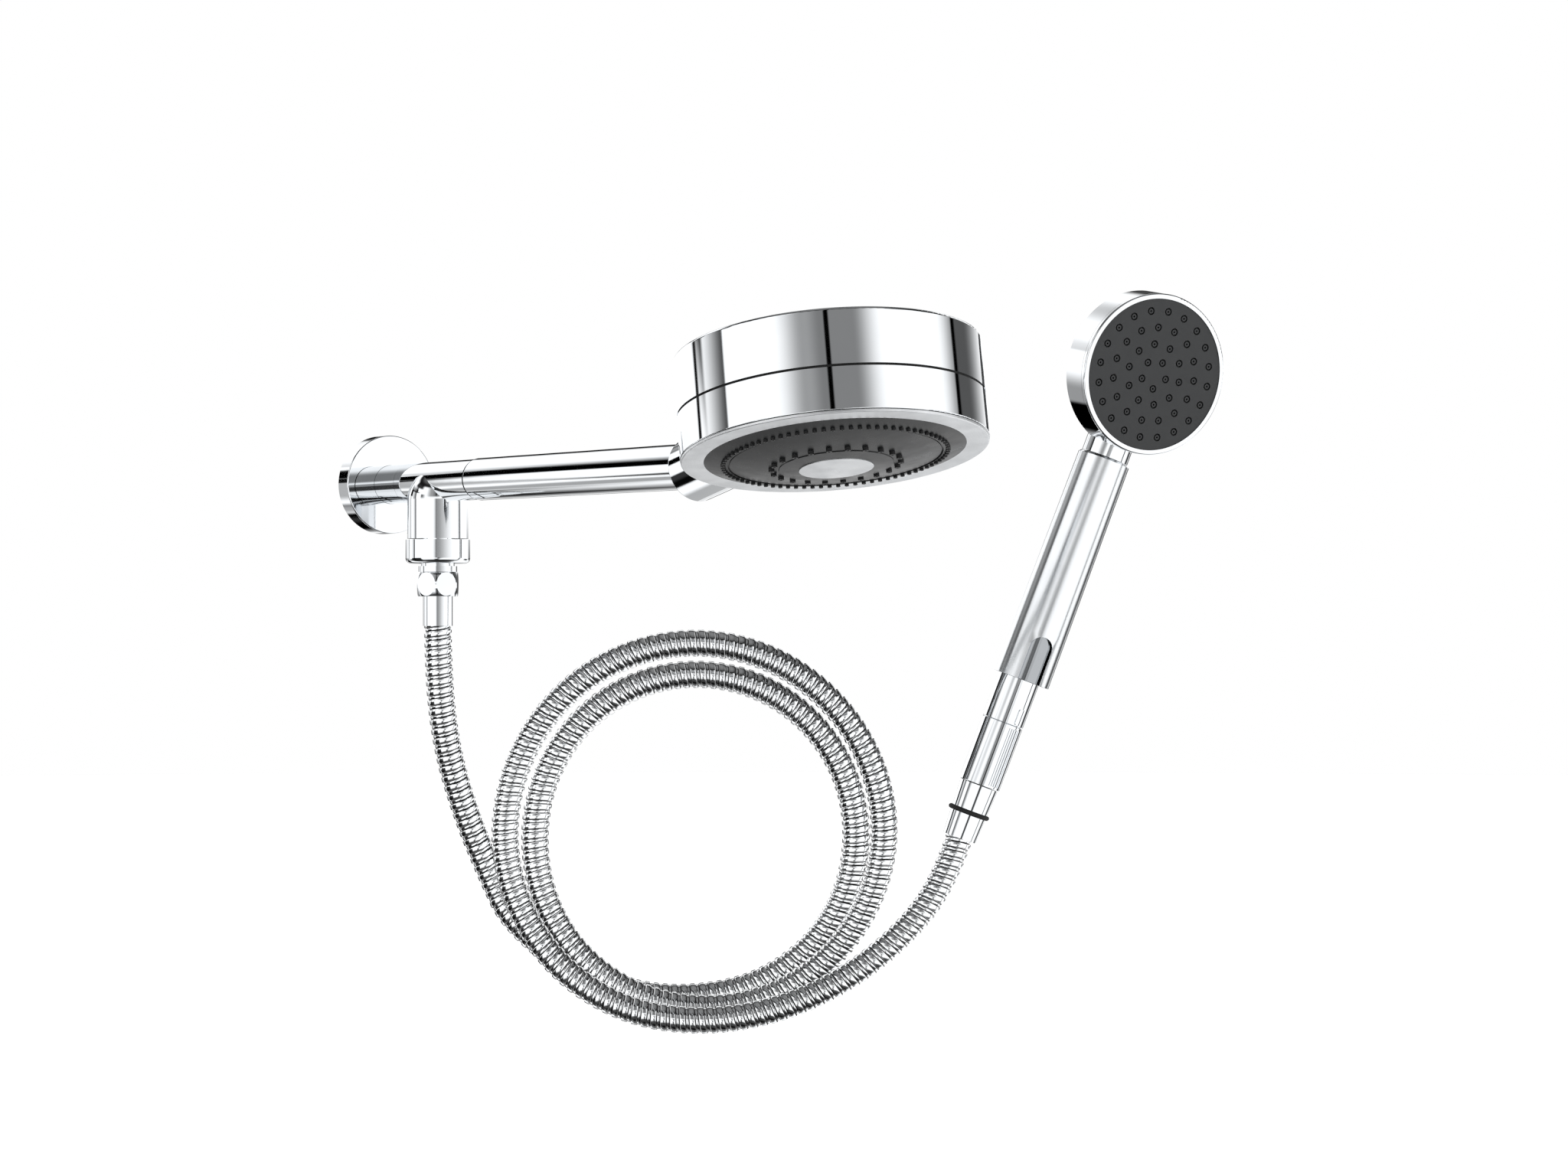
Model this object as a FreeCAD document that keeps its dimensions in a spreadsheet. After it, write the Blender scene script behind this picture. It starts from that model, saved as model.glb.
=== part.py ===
import FreeCAD, Part
import math
import os
import re

import Sketcher

# A wall shower set: a wall inlet and tee feed an overhead spray head on a straight arm, and a
# diverter under the tee feeds a hand shower on a metal hose.  Millimetres.
# Row frame: origin where the inlet pipe's axis meets the wall, +Z up, and the arm along -Y.

DIMENSIONS = {
    # Wall inlet and flange.
    "inlet_thread_radius": 10.48,
    "inlet_thread_length": 15.0,
    "inlet_bore_radius": 7.0,
    "inlet_pipe_radius": 10.0,
    "flange_radius": 25.5,
    "flange_depth": 10.0,
    "flange_wall": 2.5,
    "flange_gap": 0.1,
    # Tee: the run lies along the arm, the branch hangs below it.
    "tee_distance": 59.0,
    "tee_inlet_end": 31.0,
    "tee_arm_end": 101.0,
    "run_radius": 10.2,
    "branch_radius": 15.5,
    "branch_dome_drop": 9.0,
    "branch_drop": 29.0,
    "spool_bore_radius": 7.5,
    # Diverter.
    "collar_radius": 16.4,
    "collar_height": 12.0,
    "collar_round": 2.6,
    "seam": 0.55,
    "running_gap": 0.06,
    "spool_height": 24.0,
    "neck_radius": 8.5,
    # Hose nut, thread and ferrule.
    "hose_thread_radius": 9.3,
    "nut_across_flats": 20.2,
    "nut_radius": 11.45,
    "nut_end_radius": 10.0,
    "nut_height": 15.3,
    "nut_top_drop": 43.0,
    "nut_wall": 2.0,
    "nut_collar": 3.2,
    "nut_collar_height": 2.9,
    "nut_collar_radius": 9.8,
    "washer_thickness": 2.0,
    "ferrule_radius": 7.5,
    "ferrule_drop": 73.4,
    # Hose.
    "hose_radius": 7.0,
    "coil_mean_radius": 89.5,
    "coil_half_width": 14.5,
    "coil_half_depth": 20.2,
    # Arm.
    "arm_radius": 10.6,
    "arm_bore_radius": 9.3,
    "arm_pipe_radius": 8.0,
    "arm_pipe_bore": 6.5,
    "seal_ring_width": 1.2,
    # Ball joint of the overhead head.
    "ball_distance": 305.0,
    "ball_radius": 12.3,
    "ball_seal_thickness": 0.6,
    "ball_seal_top": 42.0,
    "ball_seal_bottom": 63.0,
    "stem_length": 20.0,
    "boss_radius": 15.0,
    "boss_mouth": 8.0,
    "boss_lip": 3.0,
    "boss_mouth_radius": 13.6,
    "boss_reach": 44.0,
    "head_tilt": 12.4,
    "head_roll": 3.1,
    # Overhead head: a drum whose joint line is level with the boss.
    "drum_offset": 102.3,
    "drum_radius": 67.5,
    "cover_height": 25.4,
    "base_height": 19.3,
    "drum_wall": 2.4,
    "drum_edge_round": 1.4,
    "rim_inner_radius": 57.2,
    "rim_thickness": 1.2,
    "dome_rise": 7.2,
    "dome_sphere_radius": 230.8,
    "plate_thickness": 2.0,
    "outer_ring_radius": 49.1,
    "inner_ring_radius": 28.2,
    "outer_nozzles": 80,
    "inner_nozzles": 22,
    "outer_tip_radius": 0.95,
    "inner_tip_radius": 1.3,
    "tip_gap": 0.05,
    "centre_cap_radius": 16.3,
    "screw_ring_radius": 59.5,
    "screw_radius": 2.0,
    # Hand shower: lengths run up the handle from the hose end.
    "handle_lean": 20.5,
    "face_turn": 27.5,
    "cone_length": 28.9,
    "cone_small_radius": 8.7,
    "cone_large_radius": 10.0,
    "cone_bore": 7.2,
    "o_ring_height": 13.9,
    "o_ring_centre_radius": 9.7,
    "o_ring_section": 1.2,
    "flow_ring_length": 34.2,
    "inner_tube_length": 23.4,
    "inner_tube_radius": 10.75,
    "core_radius": 8.1,
    "core_bore": 5.5,
    "rib_length": 31.0,
    "rib_width": 0.7,
    "rib_pitch": 1.35,
    "rib_height": 0.45,
    "rib_count": 5,
    "key_length": 8.5,
    "key_width": 3.5,
    "key_height": 0.6,
    "rib_turn": 11.0,
    "sleeve_length": 120.3,
    "sleeve_bottom_radius": 14.5,
    "sleeve_top_radius": 13.6,
    "sleeve_wall": 1.1,
    "sleeve_shift": 2.75,
    "sleeve_chamfer": 1.0,
    "slot_width": 12.0,
    "slot_length": 23.8,
    "slot_turn": 14.5,
    "liner_radius": 12.4,
    "neck_tube_radius": 12.2,
    "face_height": 47.2,
    "face_lead": 17.7,
    "disc_radius": 41.0,
    "disc_depth": 17.9,
    "disc_back_bulge": 7.0,
    "disc_wall": 2.4,
    "disc_rim_depth": 3.0,
    "face_radius": 38.4,
    "face_thickness": 1.8,
    "face_recess": 0.5,
    "dimple_radius": 2.0,
    "nipple_radius": 1.25,
    "jet_radius": 0.5,
}

# The hand shower's spray rings, from the rim inwards: nozzle count, radius as a share of the face, and
# the first nozzle's turn in degrees.
HAND_RINGS = [(20, 0.84, 9), (15, 0.62, 12), (10, 0.40, 5), (5, 0.19, 0)]

# The free hose hangs in an upright plane through the tee's outlet.  A place in that plane is
# (across, up, towards the front), counted from the tee's axis.
HOSE_PLANE_TURN = 34.7
HOSE_LEAD = [
    (0.0, -73.4, 0.0),
    (0.3, -103.0, -0.8),
    (4.6, -139.0, -5.5),
    (14.2, -172.5, -11.6),
    (26.5, -203.0, -16.6),
    (37.0, -224.5, -18.0),
]
HOSE_TAIL = [
    (169.3, -269.4, 12.6),
    (206.0, -254.0, 11.0),
    (236.0, -231.5, 7.5),
    (256.8, -205.5, 3.0),
    (265.6, -181.2, 0.0),
]
COIL_CENTRE = (131.3, -180.0, 0.0)

DOC = FreeCAD.newDocument("shower_set")
PIECES = []


# ---------------------------------------------------------------- sheet and expressions
def make_sheet():
    """The driving dimensions, one alias to a cell."""
    sheet = DOC.addObject("Spreadsheet::Sheet", "dims")
    for row, (alias, number) in enumerate(DIMENSIONS.items(), start=1):
        sheet.set("A%d" % row, alias)
        sheet.set("B%d" % row, str(number))
        sheet.setAlias("B%d" % row, alias)
    DOC.recompute()
    return sheet


SHEET = make_sheet()


def bound(text):
    """The expression with each dimension's name pointing at the sheet."""
    return re.sub(r"\b[a-z_]\w*\b(?!\s*\()", r"dims.\g<0>", str(text))


def value(text):
    """What the expression comes to now."""
    return float(SHEET.evalExpression(bound(text)))


def bind(thing, **sizes):
    """Bind each named property of the object to an expression."""
    for name, text in sizes.items():
        thing.setExpression(name, bound(text))
    return thing


def keep(thing, node, place=None):
    """Name a finished sub-part, put it in its place and list it."""
    thing.Label = node
    if place is not None:
        thing.Placement = place
    PIECES.append(thing)
    return thing


# ---------------------------------------------------------------- places
def shift(across=0.0, along=0.0, up=0.0):
    return FreeCAD.Placement(FreeCAD.Vector(across, along, up), FreeCAD.Rotation())


def turn(axis, degrees):
    return FreeCAD.Placement(FreeCAD.Vector(), FreeCAD.Rotation(axis, degrees))


X_AXIS = FreeCAD.Vector(1, 0, 0)
Y_AXIS = FreeCAD.Vector(0, 1, 0)
Z_AXIS = FreeCAD.Vector(0, 0, 1)

# Turned pieces are drawn round +Z.  FORWARD lays that axis along the arm, away from the wall.
FORWARD = turn(X_AXIS, 90)
BRANCH = shift(0, -value("tee_distance"), 0)
HEAD = shift(0, -value("ball_distance"), 0) * turn(X_AXIS, -value("head_tilt"))
HEAD = HEAD * turn(Y_AXIS, value("head_roll"))
DRUM = HEAD * shift(0, -value("drum_offset"), 0)

HOSE_ACROSS = FreeCAD.Vector(math.cos(math.radians(HOSE_PLANE_TURN)), -math.sin(math.radians(HOSE_PLANE_TURN)), 0)
HOSE_FRONT = FreeCAD.Vector(-math.sin(math.radians(HOSE_PLANE_TURN)), -math.cos(math.radians(HOSE_PLANE_TURN)), 0)


def in_hose_plane(place):
    """A place in the hose's plane as a point of the row frame."""
    across, up, front = place
    return BRANCH.Base + HOSE_ACROSS * across + Z_AXIS * up + HOSE_FRONT * front


def handle_place():
    """The hand shower's frame: +Z up the handle, and the spray face looking along -Y."""
    lean = math.radians(value("handle_lean"))
    turned = math.radians(value("face_turn"))
    up = HOSE_ACROSS * math.sin(lean) + Z_AXIS * math.cos(lean)
    side = HOSE_ACROSS * math.cos(lean) - Z_AXIS * math.sin(lean)
    face = HOSE_FRONT * math.cos(turned) + side * math.sin(turned)
    right = (face * -1).cross(up)
    rotation = FreeCAD.Rotation(right, face * -1, up, "ZYX")
    return FreeCAD.Placement(in_hose_plane(HOSE_TAIL[-1]), rotation)


HANDLE = handle_place()
SLEEVE_START = value("cone_length + flow_ring_length + inner_tube_length")
SLEEVE = HANDLE * shift(0, -value("sleeve_shift"), SLEEVE_START)
FACE_CENTRE = SLEEVE * shift(0, 0, value("sleeve_length + face_height"))
# The face pieces are drawn with +Z out of the spray face and z = 0 on the handle's axis.
FACE = FACE_CENTRE * FORWARD


# ---------------------------------------------------------------- building blocks
def origin_part(body, role):
    """The body's own origin plane or axis with this role."""
    for feature in body.Origin.OriginFeatures:
        if feature.Role == role:
            return feature
    raise ValueError(role)


def new_body(name):
    return DOC.addObject("PartDesign::Body", name)


def attached_sketch(body, name, plane, height="0"):
    """An empty sketch on one of the body's own planes, raised by an expression."""
    sketch = body.newObject("Sketcher::SketchObject", name)
    sketch.AttachmentSupport = (origin_part(body, plane), [""])
    sketch.MapMode = "FlatFace"
    if height != "0":
        sketch.setExpression("AttachmentOffset.Base.z", bound(height))
    return sketch


def arc_between(start, end, radius):
    """The minor arc from start to end; a positive radius keeps its centre on the left."""
    chord = end - start
    half = chord.Length / 2
    left = FreeCAD.Vector(-chord.y, chord.x, 0).normalize()
    rise = abs(radius) - math.sqrt(radius * radius - half * half)
    middle = (start + end) * 0.5 - left * math.copysign(rise, radius)
    return Part.Arc(start, middle, end)


def place_point(sketch, geometry, point, across, up):
    """Tie a point of the sketch to the origin by two expressions."""
    for text, kind, axis in ((across, "DistanceX", -2), (up, "DistanceY", -1)):
        if abs(value(text)) < 1e-9:
            sketch.addConstraint(Sketcher.Constraint("PointOnObject", geometry, point, axis))
            continue
        rule = Sketcher.Constraint(kind, -1, 1, geometry, point, value(text))
        index = sketch.addConstraint(rule)
        sketch.setExpression("Constraints[%d]" % index, bound(text))


def draw_outline(sketch, outline):
    """A closed outline through (across, up) corners; a third entry bends the edge that follows."""
    corners = [FreeCAD.Vector(value(corner[0]), value(corner[1]), 0) for corner in outline]
    first_points = []
    last_points = []
    for index, corner in enumerate(outline):
        start = corners[index]
        end = corners[(index + 1) % len(corners)]
        if len(corner) == 3:
            sketch.addGeometry(arc_between(start, end, value(corner[2])))
        else:
            sketch.addGeometry(Part.LineSegment(start, end))
        forward = sketch.getPoint(index, 1).distanceToPoint(start) < 1e-6
        first_points.append(1 if forward else 2)
        last_points.append(2 if forward else 1)
    for index, corner in enumerate(outline):
        before = index - 1 if index else len(outline) - 1
        joint = Sketcher.Constraint("Coincident", before, last_points[before], index, first_points[index])
        sketch.addConstraint(joint)
        place_point(sketch, index, first_points[index], corner[0], corner[1])
        if len(corner) == 3:
            radius = Sketcher.Constraint("Radius", index, abs(value(corner[2])))
            sketch.setExpression("Constraints[%d]" % sketch.addConstraint(radius), bound("abs(%s)" % corner[2]))


def turned(name, outline):
    """A body turned round its +Z from an outline of (radius, height) corners."""
    body = new_body(name)
    sketch = attached_sketch(body, name + "_outline", "XZ_Plane")
    draw_outline(sketch, outline)
    spin = body.newObject("PartDesign::Revolution", name + "_turn")
    spin.Profile = sketch
    spin.ReferenceAxis = (sketch, ["V_Axis"])
    spin.Angle = 360
    DOC.recompute()
    return body


def tube(name, outer, inner, low, high):
    """A plain round tube."""
    return turned(name, [(inner, low), (outer, low), (outer, high), (inner, high)])


def rod(name, radius, low, high):
    """A plain solid cylinder."""
    return turned(name, [("0", low), (radius, low), (radius, high), ("0", high)])


def circles_at(shape, radius, height):
    """Names of the shape's round edges with this radius, centred at this height on its axis."""
    names = []
    for index, edge in enumerate(shape.Edges, start=1):
        if not isinstance(edge.Curve, Part.Circle):
            continue
        on_axis = math.hypot(edge.Curve.Center.x, edge.Curve.Center.y) < 1e-3
        if on_axis and abs(edge.Curve.Radius - radius) < 1e-3 and abs(edge.Curve.Center.z - height) < 1e-3:
            names.append("Edge%d" % index)
    return names


def soften(body, kind, size, edges):
    """Round ("Fillet") or bevel ("Chamfer") the turned edges given as (radius, height)."""
    base = body.Tip
    names = []
    for radius, height in edges:
        names += circles_at(base.Shape, value(radius), value(height))
    feature = body.newObject("PartDesign::" + kind, body.Name + "_" + kind.lower())
    feature.Base = (base, names)
    bind(feature, **{"Radius" if kind == "Fillet" else "Size": size})
    DOC.recompute()
    return body


def ring_of_circles(body, kind, name, plane_height, ring_radius, radius, depth, count, start=0):
    """A pad or pocket of one circle, repeated round +Z; a pad and a pocket both go down."""
    sketch = attached_sketch(body, name + "_circle", "XY_Plane", plane_height)
    along = "(%s) * %.6f" % (ring_radius, math.cos(math.radians(start)))
    up = "(%s) * %.6f" % (ring_radius, math.sin(math.radians(start))) if start else "0"
    centre = FreeCAD.Vector(value(along), value(up), 0)
    sketch.addGeometry(Part.Circle(centre, Z_AXIS, value(radius)))
    place_point(sketch, 0, 3, along, up)
    size = sketch.addConstraint(Sketcher.Constraint("Radius", 0, value(radius)))
    sketch.setExpression("Constraints[%d]" % size, bound(radius))
    feature = body.newObject("PartDesign::" + kind, name)
    feature.Profile = sketch
    feature.Reversed = kind == "Pad"
    bind(feature, Length=depth)
    DOC.recompute()
    pattern = body.newObject("PartDesign::PolarPattern", name + "_ring")
    pattern.Originals = [feature]
    pattern.Axis = (origin_part(body, "Z_Axis"), [""])
    pattern.Angle = 360
    pattern.Occurrences = int(count)
    body.Tip = pattern
    DOC.recompute()
    return body


def cylinder(name, radius, height, place):
    """A Part cylinder along its own +Z."""
    made = DOC.addObject("Part::Cylinder", name)
    bind(made, Radius=radius, Height=height)
    made.Placement = place
    return made


def combined(kind, name, base, tool):
    """Part::Cut, Part::Common or Part::Fuse of two objects."""
    made = DOC.addObject("Part::" + kind, name)
    made.Base = base
    made.Tool = tool
    DOC.recompute()
    return made


# ---------------------------------------------------------------- wall inlet and tee
def make_wall_nipple():
    outline = [
        ("inlet_bore_radius", "-inlet_thread_length"),
        ("inlet_thread_radius", "-inlet_thread_length"),
        ("inlet_thread_radius", "0"),
        ("inlet_pipe_radius", "0"),
        ("inlet_pipe_radius", "tee_inlet_end - seam"),
        ("inlet_bore_radius", "tee_inlet_end - seam"),
    ]
    keep(turned("wall_nipple", outline), "wall_nipple", FORWARD)


def make_wall_flange():
    """A dished cover plate, hollow behind, that is pushed over the inlet pipe."""
    hole = "inlet_pipe_radius + flange_gap"
    outline = [
        (hole, "flange_depth"),
        (hole, "flange_depth - flange_wall"),
        ("flange_radius - flange_wall", "flange_depth - flange_wall"),
        ("flange_radius - flange_wall", "0"),
        ("flange_radius", "0"),
        ("flange_radius", "flange_depth"),
    ]
    body = turned("wall_flange", outline)
    soften(body, "Fillet", "0.6", [("flange_radius", "flange_depth")])
    keep(body, "wall_flange", FORWARD)


def make_flange_seal():
    body = tube("flange_seal", "flange_radius - flange_wall - 0.3", "inlet_thread_radius + 0.4", "0.1", "3")
    keep(body, "flange_seal", FORWARD)


def make_tee_body():
    """A round run with a wider branch below it, whose domed top runs up into the run."""
    run = cylinder("run", "run_radius", "tee_arm_end - tee_inlet_end", FORWARD * shift(0, 0, value("tee_inlet_end")))
    outline = [
        ("0", "-branch_drop"),
        ("branch_radius", "-branch_drop"),
        ("branch_radius", "-branch_dome_drop", "branch_radius"),
        ("0", "branch_radius - branch_dome_drop"),
    ]
    branch = turned("branch", outline)
    branch.Placement = BRANCH
    solid = combined("Fuse", "tee_solid", run, branch)
    through = cylinder("tee_run_bore", "inlet_bore_radius", "tee_arm_end", FORWARD * shift(0, 0, 1))
    spool_outline = [
        ("0", "-branch_drop - 1"),
        ("spool_bore_radius", "-branch_drop - 1"),
        ("spool_bore_radius", "4"),
        ("0", "4"),
    ]
    spool_bore = turned("tee_spool_bore", spool_outline)
    spool_bore.Placement = BRANCH
    bored = combined("Cut", "tee_bored", solid, through)
    keep(combined("Cut", "tee_body", bored, spool_bore), "tee_body")


def make_diverter_collar():
    """The turning ring under the branch, with a rounded lower edge and a hole for the outlet."""
    top = "-branch_drop - seam"
    low = "-branch_drop - seam - collar_height"
    inner = "neck_radius + running_gap"
    body = turned("diverter_collar", [(inner, low), ("collar_radius", low), ("collar_radius", top), (inner, top)])
    soften(body, "Fillet", "collar_round", [("collar_radius", low)])
    keep(body, "diverter_collar", BRANCH)


def make_diverter_spool():
    """A cross-bored plug that turns inside the branch."""
    outline = [
        ("0", "3 - spool_height"),
        ("spool_bore_radius - running_gap", "3 - spool_height"),
        ("spool_bore_radius - running_gap", "3"),
        ("0", "3"),
    ]
    plug = turned("spool_plug", outline)
    plug.Placement = BRANCH
    port = cylinder("spool_port", "arm_pipe_bore", "tee_arm_end", FORWARD * shift(0, 0, 1))
    drilled = combined("Cut", "spool_drilled", plug, port)
    drop = cylinder("spool_drop", "neck_radius * 0.6", "spool_height", BRANCH * shift(0, 0, -value("spool_height")))
    keep(combined("Cut", "diverter_spool", drilled, drop), "diverter_spool")


def make_outlet_nipple():
    """The hose outlet: a neck through the collar and a threaded end inside the hose nut."""
    top = "1.2 - spool_height"
    thread_top = "-nut_top_drop - nut_collar - 0.2"
    bottom = "-nut_top_drop - nut_height + nut_wall + washer_thickness + 2.4"
    outline = [
        ("neck_radius * 0.6", bottom),
        ("hose_thread_radius", bottom),
        ("hose_thread_radius", thread_top),
        ("neck_radius", thread_top),
        ("neck_radius", "-branch_drop - seam / 2"),
        ("spool_bore_radius - running_gap", "-branch_drop - seam / 2"),
        ("spool_bore_radius - running_gap", top),
        ("neck_radius * 0.6", top),
    ]
    keep(turned("outlet_nipple", outline), "outlet_nipple", BRANCH)


# ---------------------------------------------------------------- hose nut, ferrule and hose
def make_hose_nut():
    """A barrel-shaped nut with six ground flats, and a round collar on top."""
    prism = DOC.addObject("Part::Prism", "nut_prism")
    prism.Polygon = 6
    bind(prism, Circumradius="nut_across_flats / sqrt(3)", Height="nut_height")
    corner_turn = 180 + 90 - HOSE_PLANE_TURN
    lift = -value("nut_top_drop + nut_height")
    prism.Placement = BRANCH * shift(0, 0, lift) * turn(Z_AXIS, corner_turn)
    low = "-nut_top_drop - nut_height"
    high = "-nut_top_drop"
    shoulder = high + " - nut_collar_height"
    barrel_height = "(nut_height - nut_collar_height)"
    bulge = "(nut_radius - nut_end_radius)"
    barrel_bend = "(%s * %s / 4 + %s * %s) / (2 * %s)" % (barrel_height, barrel_height, bulge, bulge, bulge)
    envelope_outline = [
        ("0", low),
        ("nut_end_radius", low, barrel_bend),
        ("nut_end_radius", shoulder),
        ("nut_collar_radius", shoulder),
        ("nut_collar_radius", high),
        ("0", high),
    ]
    envelope = turned("nut_envelope", envelope_outline)
    envelope.Placement = BRANCH
    blank = combined("Common", "nut_blank", prism, envelope)
    thread = "hose_thread_radius + running_gap"
    bore_outline = [
        ("0", low + " - 1"),
        ("ferrule_radius + running_gap", low + " - 1"),
        ("ferrule_radius + running_gap", low + " + nut_wall"),
        (thread, low + " + nut_wall"),
        (thread, high + " - nut_collar"),
        ("neck_radius + 0.4", high + " - nut_collar"),
        ("neck_radius + 0.4", high + " + 1"),
        ("0", high + " + 1"),
    ]
    bore = turned("nut_bore", bore_outline)
    bore.Placement = BRANCH
    keep(combined("Cut", "hose_hex_nut", blank, bore), "hose_hex_nut")


def make_hose_washer():
    low = "-nut_top_drop - nut_height + nut_wall + 2.3"
    body = tube("hose_washer", "hose_thread_radius - 0.35", "neck_radius * 0.6", low, low + " + washer_thickness")
    keep(body, "hose_washer", BRANCH)


def make_hose_ferrule():
    """The hose's end sleeve, with the shoulder that the nut pulls on."""
    shoulder = "-nut_top_drop - nut_height + nut_wall + 0.3"
    outline = [
        ("neck_radius * 0.6", "-ferrule_drop"),
        ("ferrule_radius", "-ferrule_drop"),
        ("ferrule_radius", shoulder),
        ("hose_thread_radius - 0.35", shoulder),
        ("hose_thread_radius - 0.35", shoulder + " + 1.9"),
        ("neck_radius * 0.6", shoulder + " + 1.9"),
    ]
    keep(turned("hose_ferrule", outline), "hose_ferrule", BRANCH)


def rounded_route(places, name):
    """Straight runs through the places, joined by tangent arcs, as one wire."""
    points = [in_hose_plane(place) for place in places]
    runs = [points[i + 1] - points[i] for i in range(len(points) - 1)]
    edges = []
    start = points[0]
    radii = []
    for index in range(1, len(points) - 1):
        before = runs[index - 1]
        after = runs[index]
        half_turn = before.getAngle(after) / 2
        trim = 0.45 * min(before.Length, after.Length)
        radii.append(trim / math.tan(half_turn))
        enter = points[index] - before * (trim / before.Length)
        leave = points[index] + after * (trim / after.Length)
        inward = (after * (1 / after.Length) - before * (1 / before.Length)).normalize()
        middle = points[index] + inward * (radii[-1] * (1 / math.cos(half_turn) - 1))
        edges.append(Part.LineSegment(start, enter).toShape())
        edges.append(Part.Arc(enter, middle, leave).toShape())
        start = leave
    edges.append(Part.LineSegment(start, points[-1]).toShape())
    print(name, "radii mm:", [round(radius, 1) for radius in radii])
    return Part.Wire(edges)


def make_hose_stretch(node, places):
    """A free stretch of the hose: a round tube along its route."""
    wire = rounded_route(places, node)
    along = in_hose_plane(places[1]) - in_hose_plane(places[0])
    radius = value("hose_radius")
    ring = Part.Wire([Part.makeCircle(radius, in_hose_plane(places[0]), along)])
    solid = wire.makePipeShell([ring], True, False)
    section = math.pi * radius * radius
    print(node, "length mm: %.1f" % wire.Length, "volume share: %.5f" % (solid.Volume / section / wire.Length))
    stretch = DOC.addObject("Part::Feature", node)
    stretch.Shape = solid
    keep(stretch, node)


def make_hose_coil():
    """The outer shape of the two stored turns: a thick upright ring with rounded edges."""
    inner = "coil_mean_radius - coil_half_width"
    outer = "coil_mean_radius + coil_half_width"
    body = tube("hose_coil", outer, inner, "-coil_half_depth", "coil_half_depth")
    edges = [(inner, "coil_half_depth"), (outer, "coil_half_depth")]
    edges += [(inner, "-coil_half_depth"), (outer, "-coil_half_depth")]
    soften(body, "Fillet", "hose_radius * 0.9", edges)
    facing = FreeCAD.Rotation(HOSE_ACROSS, Z_AXIS, HOSE_FRONT, "ZXY")
    keep(body, "hose_coil", FreeCAD.Placement(in_hose_plane(COIL_CENTRE), facing))


# ---------------------------------------------------------------- arm
def make_arm_seal_ring():
    low = "tee_arm_end + 0.1"
    body = tube("arm_seal_ring", "run_radius - 0.3", "arm_pipe_radius + 0.1", low, low + " + seal_ring_width")
    keep(body, "arm_seal_ring", FORWARD)


def ball_shoulder():
    """How far behind the ball's centre its surface is as wide as the arm."""
    return "sqrt(ball_radius * ball_radius - arm_radius * arm_radius)"


def make_arm_tube():
    low = "tee_arm_end + seal_ring_width + 0.2"
    high = "ball_distance - 0.05 - " + ball_shoulder()
    body = tube("arm_tube", "arm_radius", "arm_bore_radius", low, high)
    soften(body, "Fillet", "0.5", [("arm_radius", low)])
    keep(body, "arm_tube", FORWARD)


def make_arm_inner_pipe():
    high = "ball_distance - stem_length - 6.4"
    body = tube("arm_inner_pipe", "arm_pipe_radius", "arm_pipe_bore", "tee_arm_end + 0.1", high)
    keep(body, "arm_inner_pipe", FORWARD)


def make_ball_stem():
    """The hollow ball on the arm's end, with the stem that is screwed into the tube."""
    shoulder = "ball_distance - " + ball_shoulder()
    stem_start = "ball_distance - stem_length - 6.3"
    nose = "sqrt(ball_radius * ball_radius - arm_pipe_bore * arm_pipe_bore)"
    outline = [
        ("arm_pipe_bore", stem_start),
        ("arm_bore_radius - 0.05", stem_start),
        ("arm_bore_radius - 0.05", shoulder),
        ("arm_radius", shoulder, "ball_radius"),
        ("ball_radius", "ball_distance", "ball_radius"),
        ("arm_pipe_bore", "ball_distance + " + nose),
    ]
    keep(turned("ball_stem", outline), "ball_stem", FORWARD)


# ---------------------------------------------------------------- ball seal and overhead head
def polar(radius, degrees):
    """Corner on a circle round the ball's centre, counted from the axis towards the drum."""
    return ("(%s) * sin(%s)" % (radius, degrees), "(%s) * cos(%s)" % (radius, degrees))


def make_ball_seal():
    """A thin spherical washer between the ball and the boss."""
    inner = "ball_radius + running_gap"
    outer = "ball_radius + running_gap + ball_seal_thickness"
    outline = [
        (*polar(inner, "ball_seal_bottom"), inner),
        polar(inner, "ball_seal_top"),
        (*polar(outer, "ball_seal_top"), "-(%s)" % outer),
        polar(outer, "ball_seal_bottom"),
    ]
    keep(turned("ball_seal", outline), "ball_seal", HEAD * FORWARD)


def make_swivel_boss():
    """The tube that holds the ball and carries the drum; its mouth flares so that the arm can tilt."""
    cavity = "ball_radius + 2 * running_gap + ball_seal_thickness"
    lip = "ball_radius + running_gap"
    outline = [
        ("boss_mouth_radius", "-boss_mouth"),
        ("boss_radius", "-boss_mouth"),
        ("boss_radius", "boss_reach"),
        ("arm_pipe_bore", "boss_reach"),
        ("arm_pipe_bore", "sqrt((%s) * (%s) - arm_pipe_bore * arm_pipe_bore)" % (cavity, cavity), "-(%s)" % cavity),
        (cavity, "0"),
        (lip, "0", "-(%s)" % lip),
        ("sqrt((%s) * (%s) - boss_lip * boss_lip)" % (lip, lip), "-boss_lip"),
    ]
    body = turned("swivel_boss", outline)
    soften(body, "Fillet", "0.8", [("boss_radius", "-boss_mouth")])
    keep(body, "swivel_boss", HEAD * FORWARD)


def make_flow_restrictor():
    body = tube("flow_restrictor", "arm_pipe_bore - 0.05", "2", "boss_reach - 9", "boss_reach - 3")
    keep(body, "flow_restrictor", HEAD * FORWARD)


def boss_hole(name):
    """A cutter for the boss's way through the drum's wall."""
    return cylinder(name, "boss_radius + 0.05", "drum_offset - 40", HEAD * FORWARD)


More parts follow.
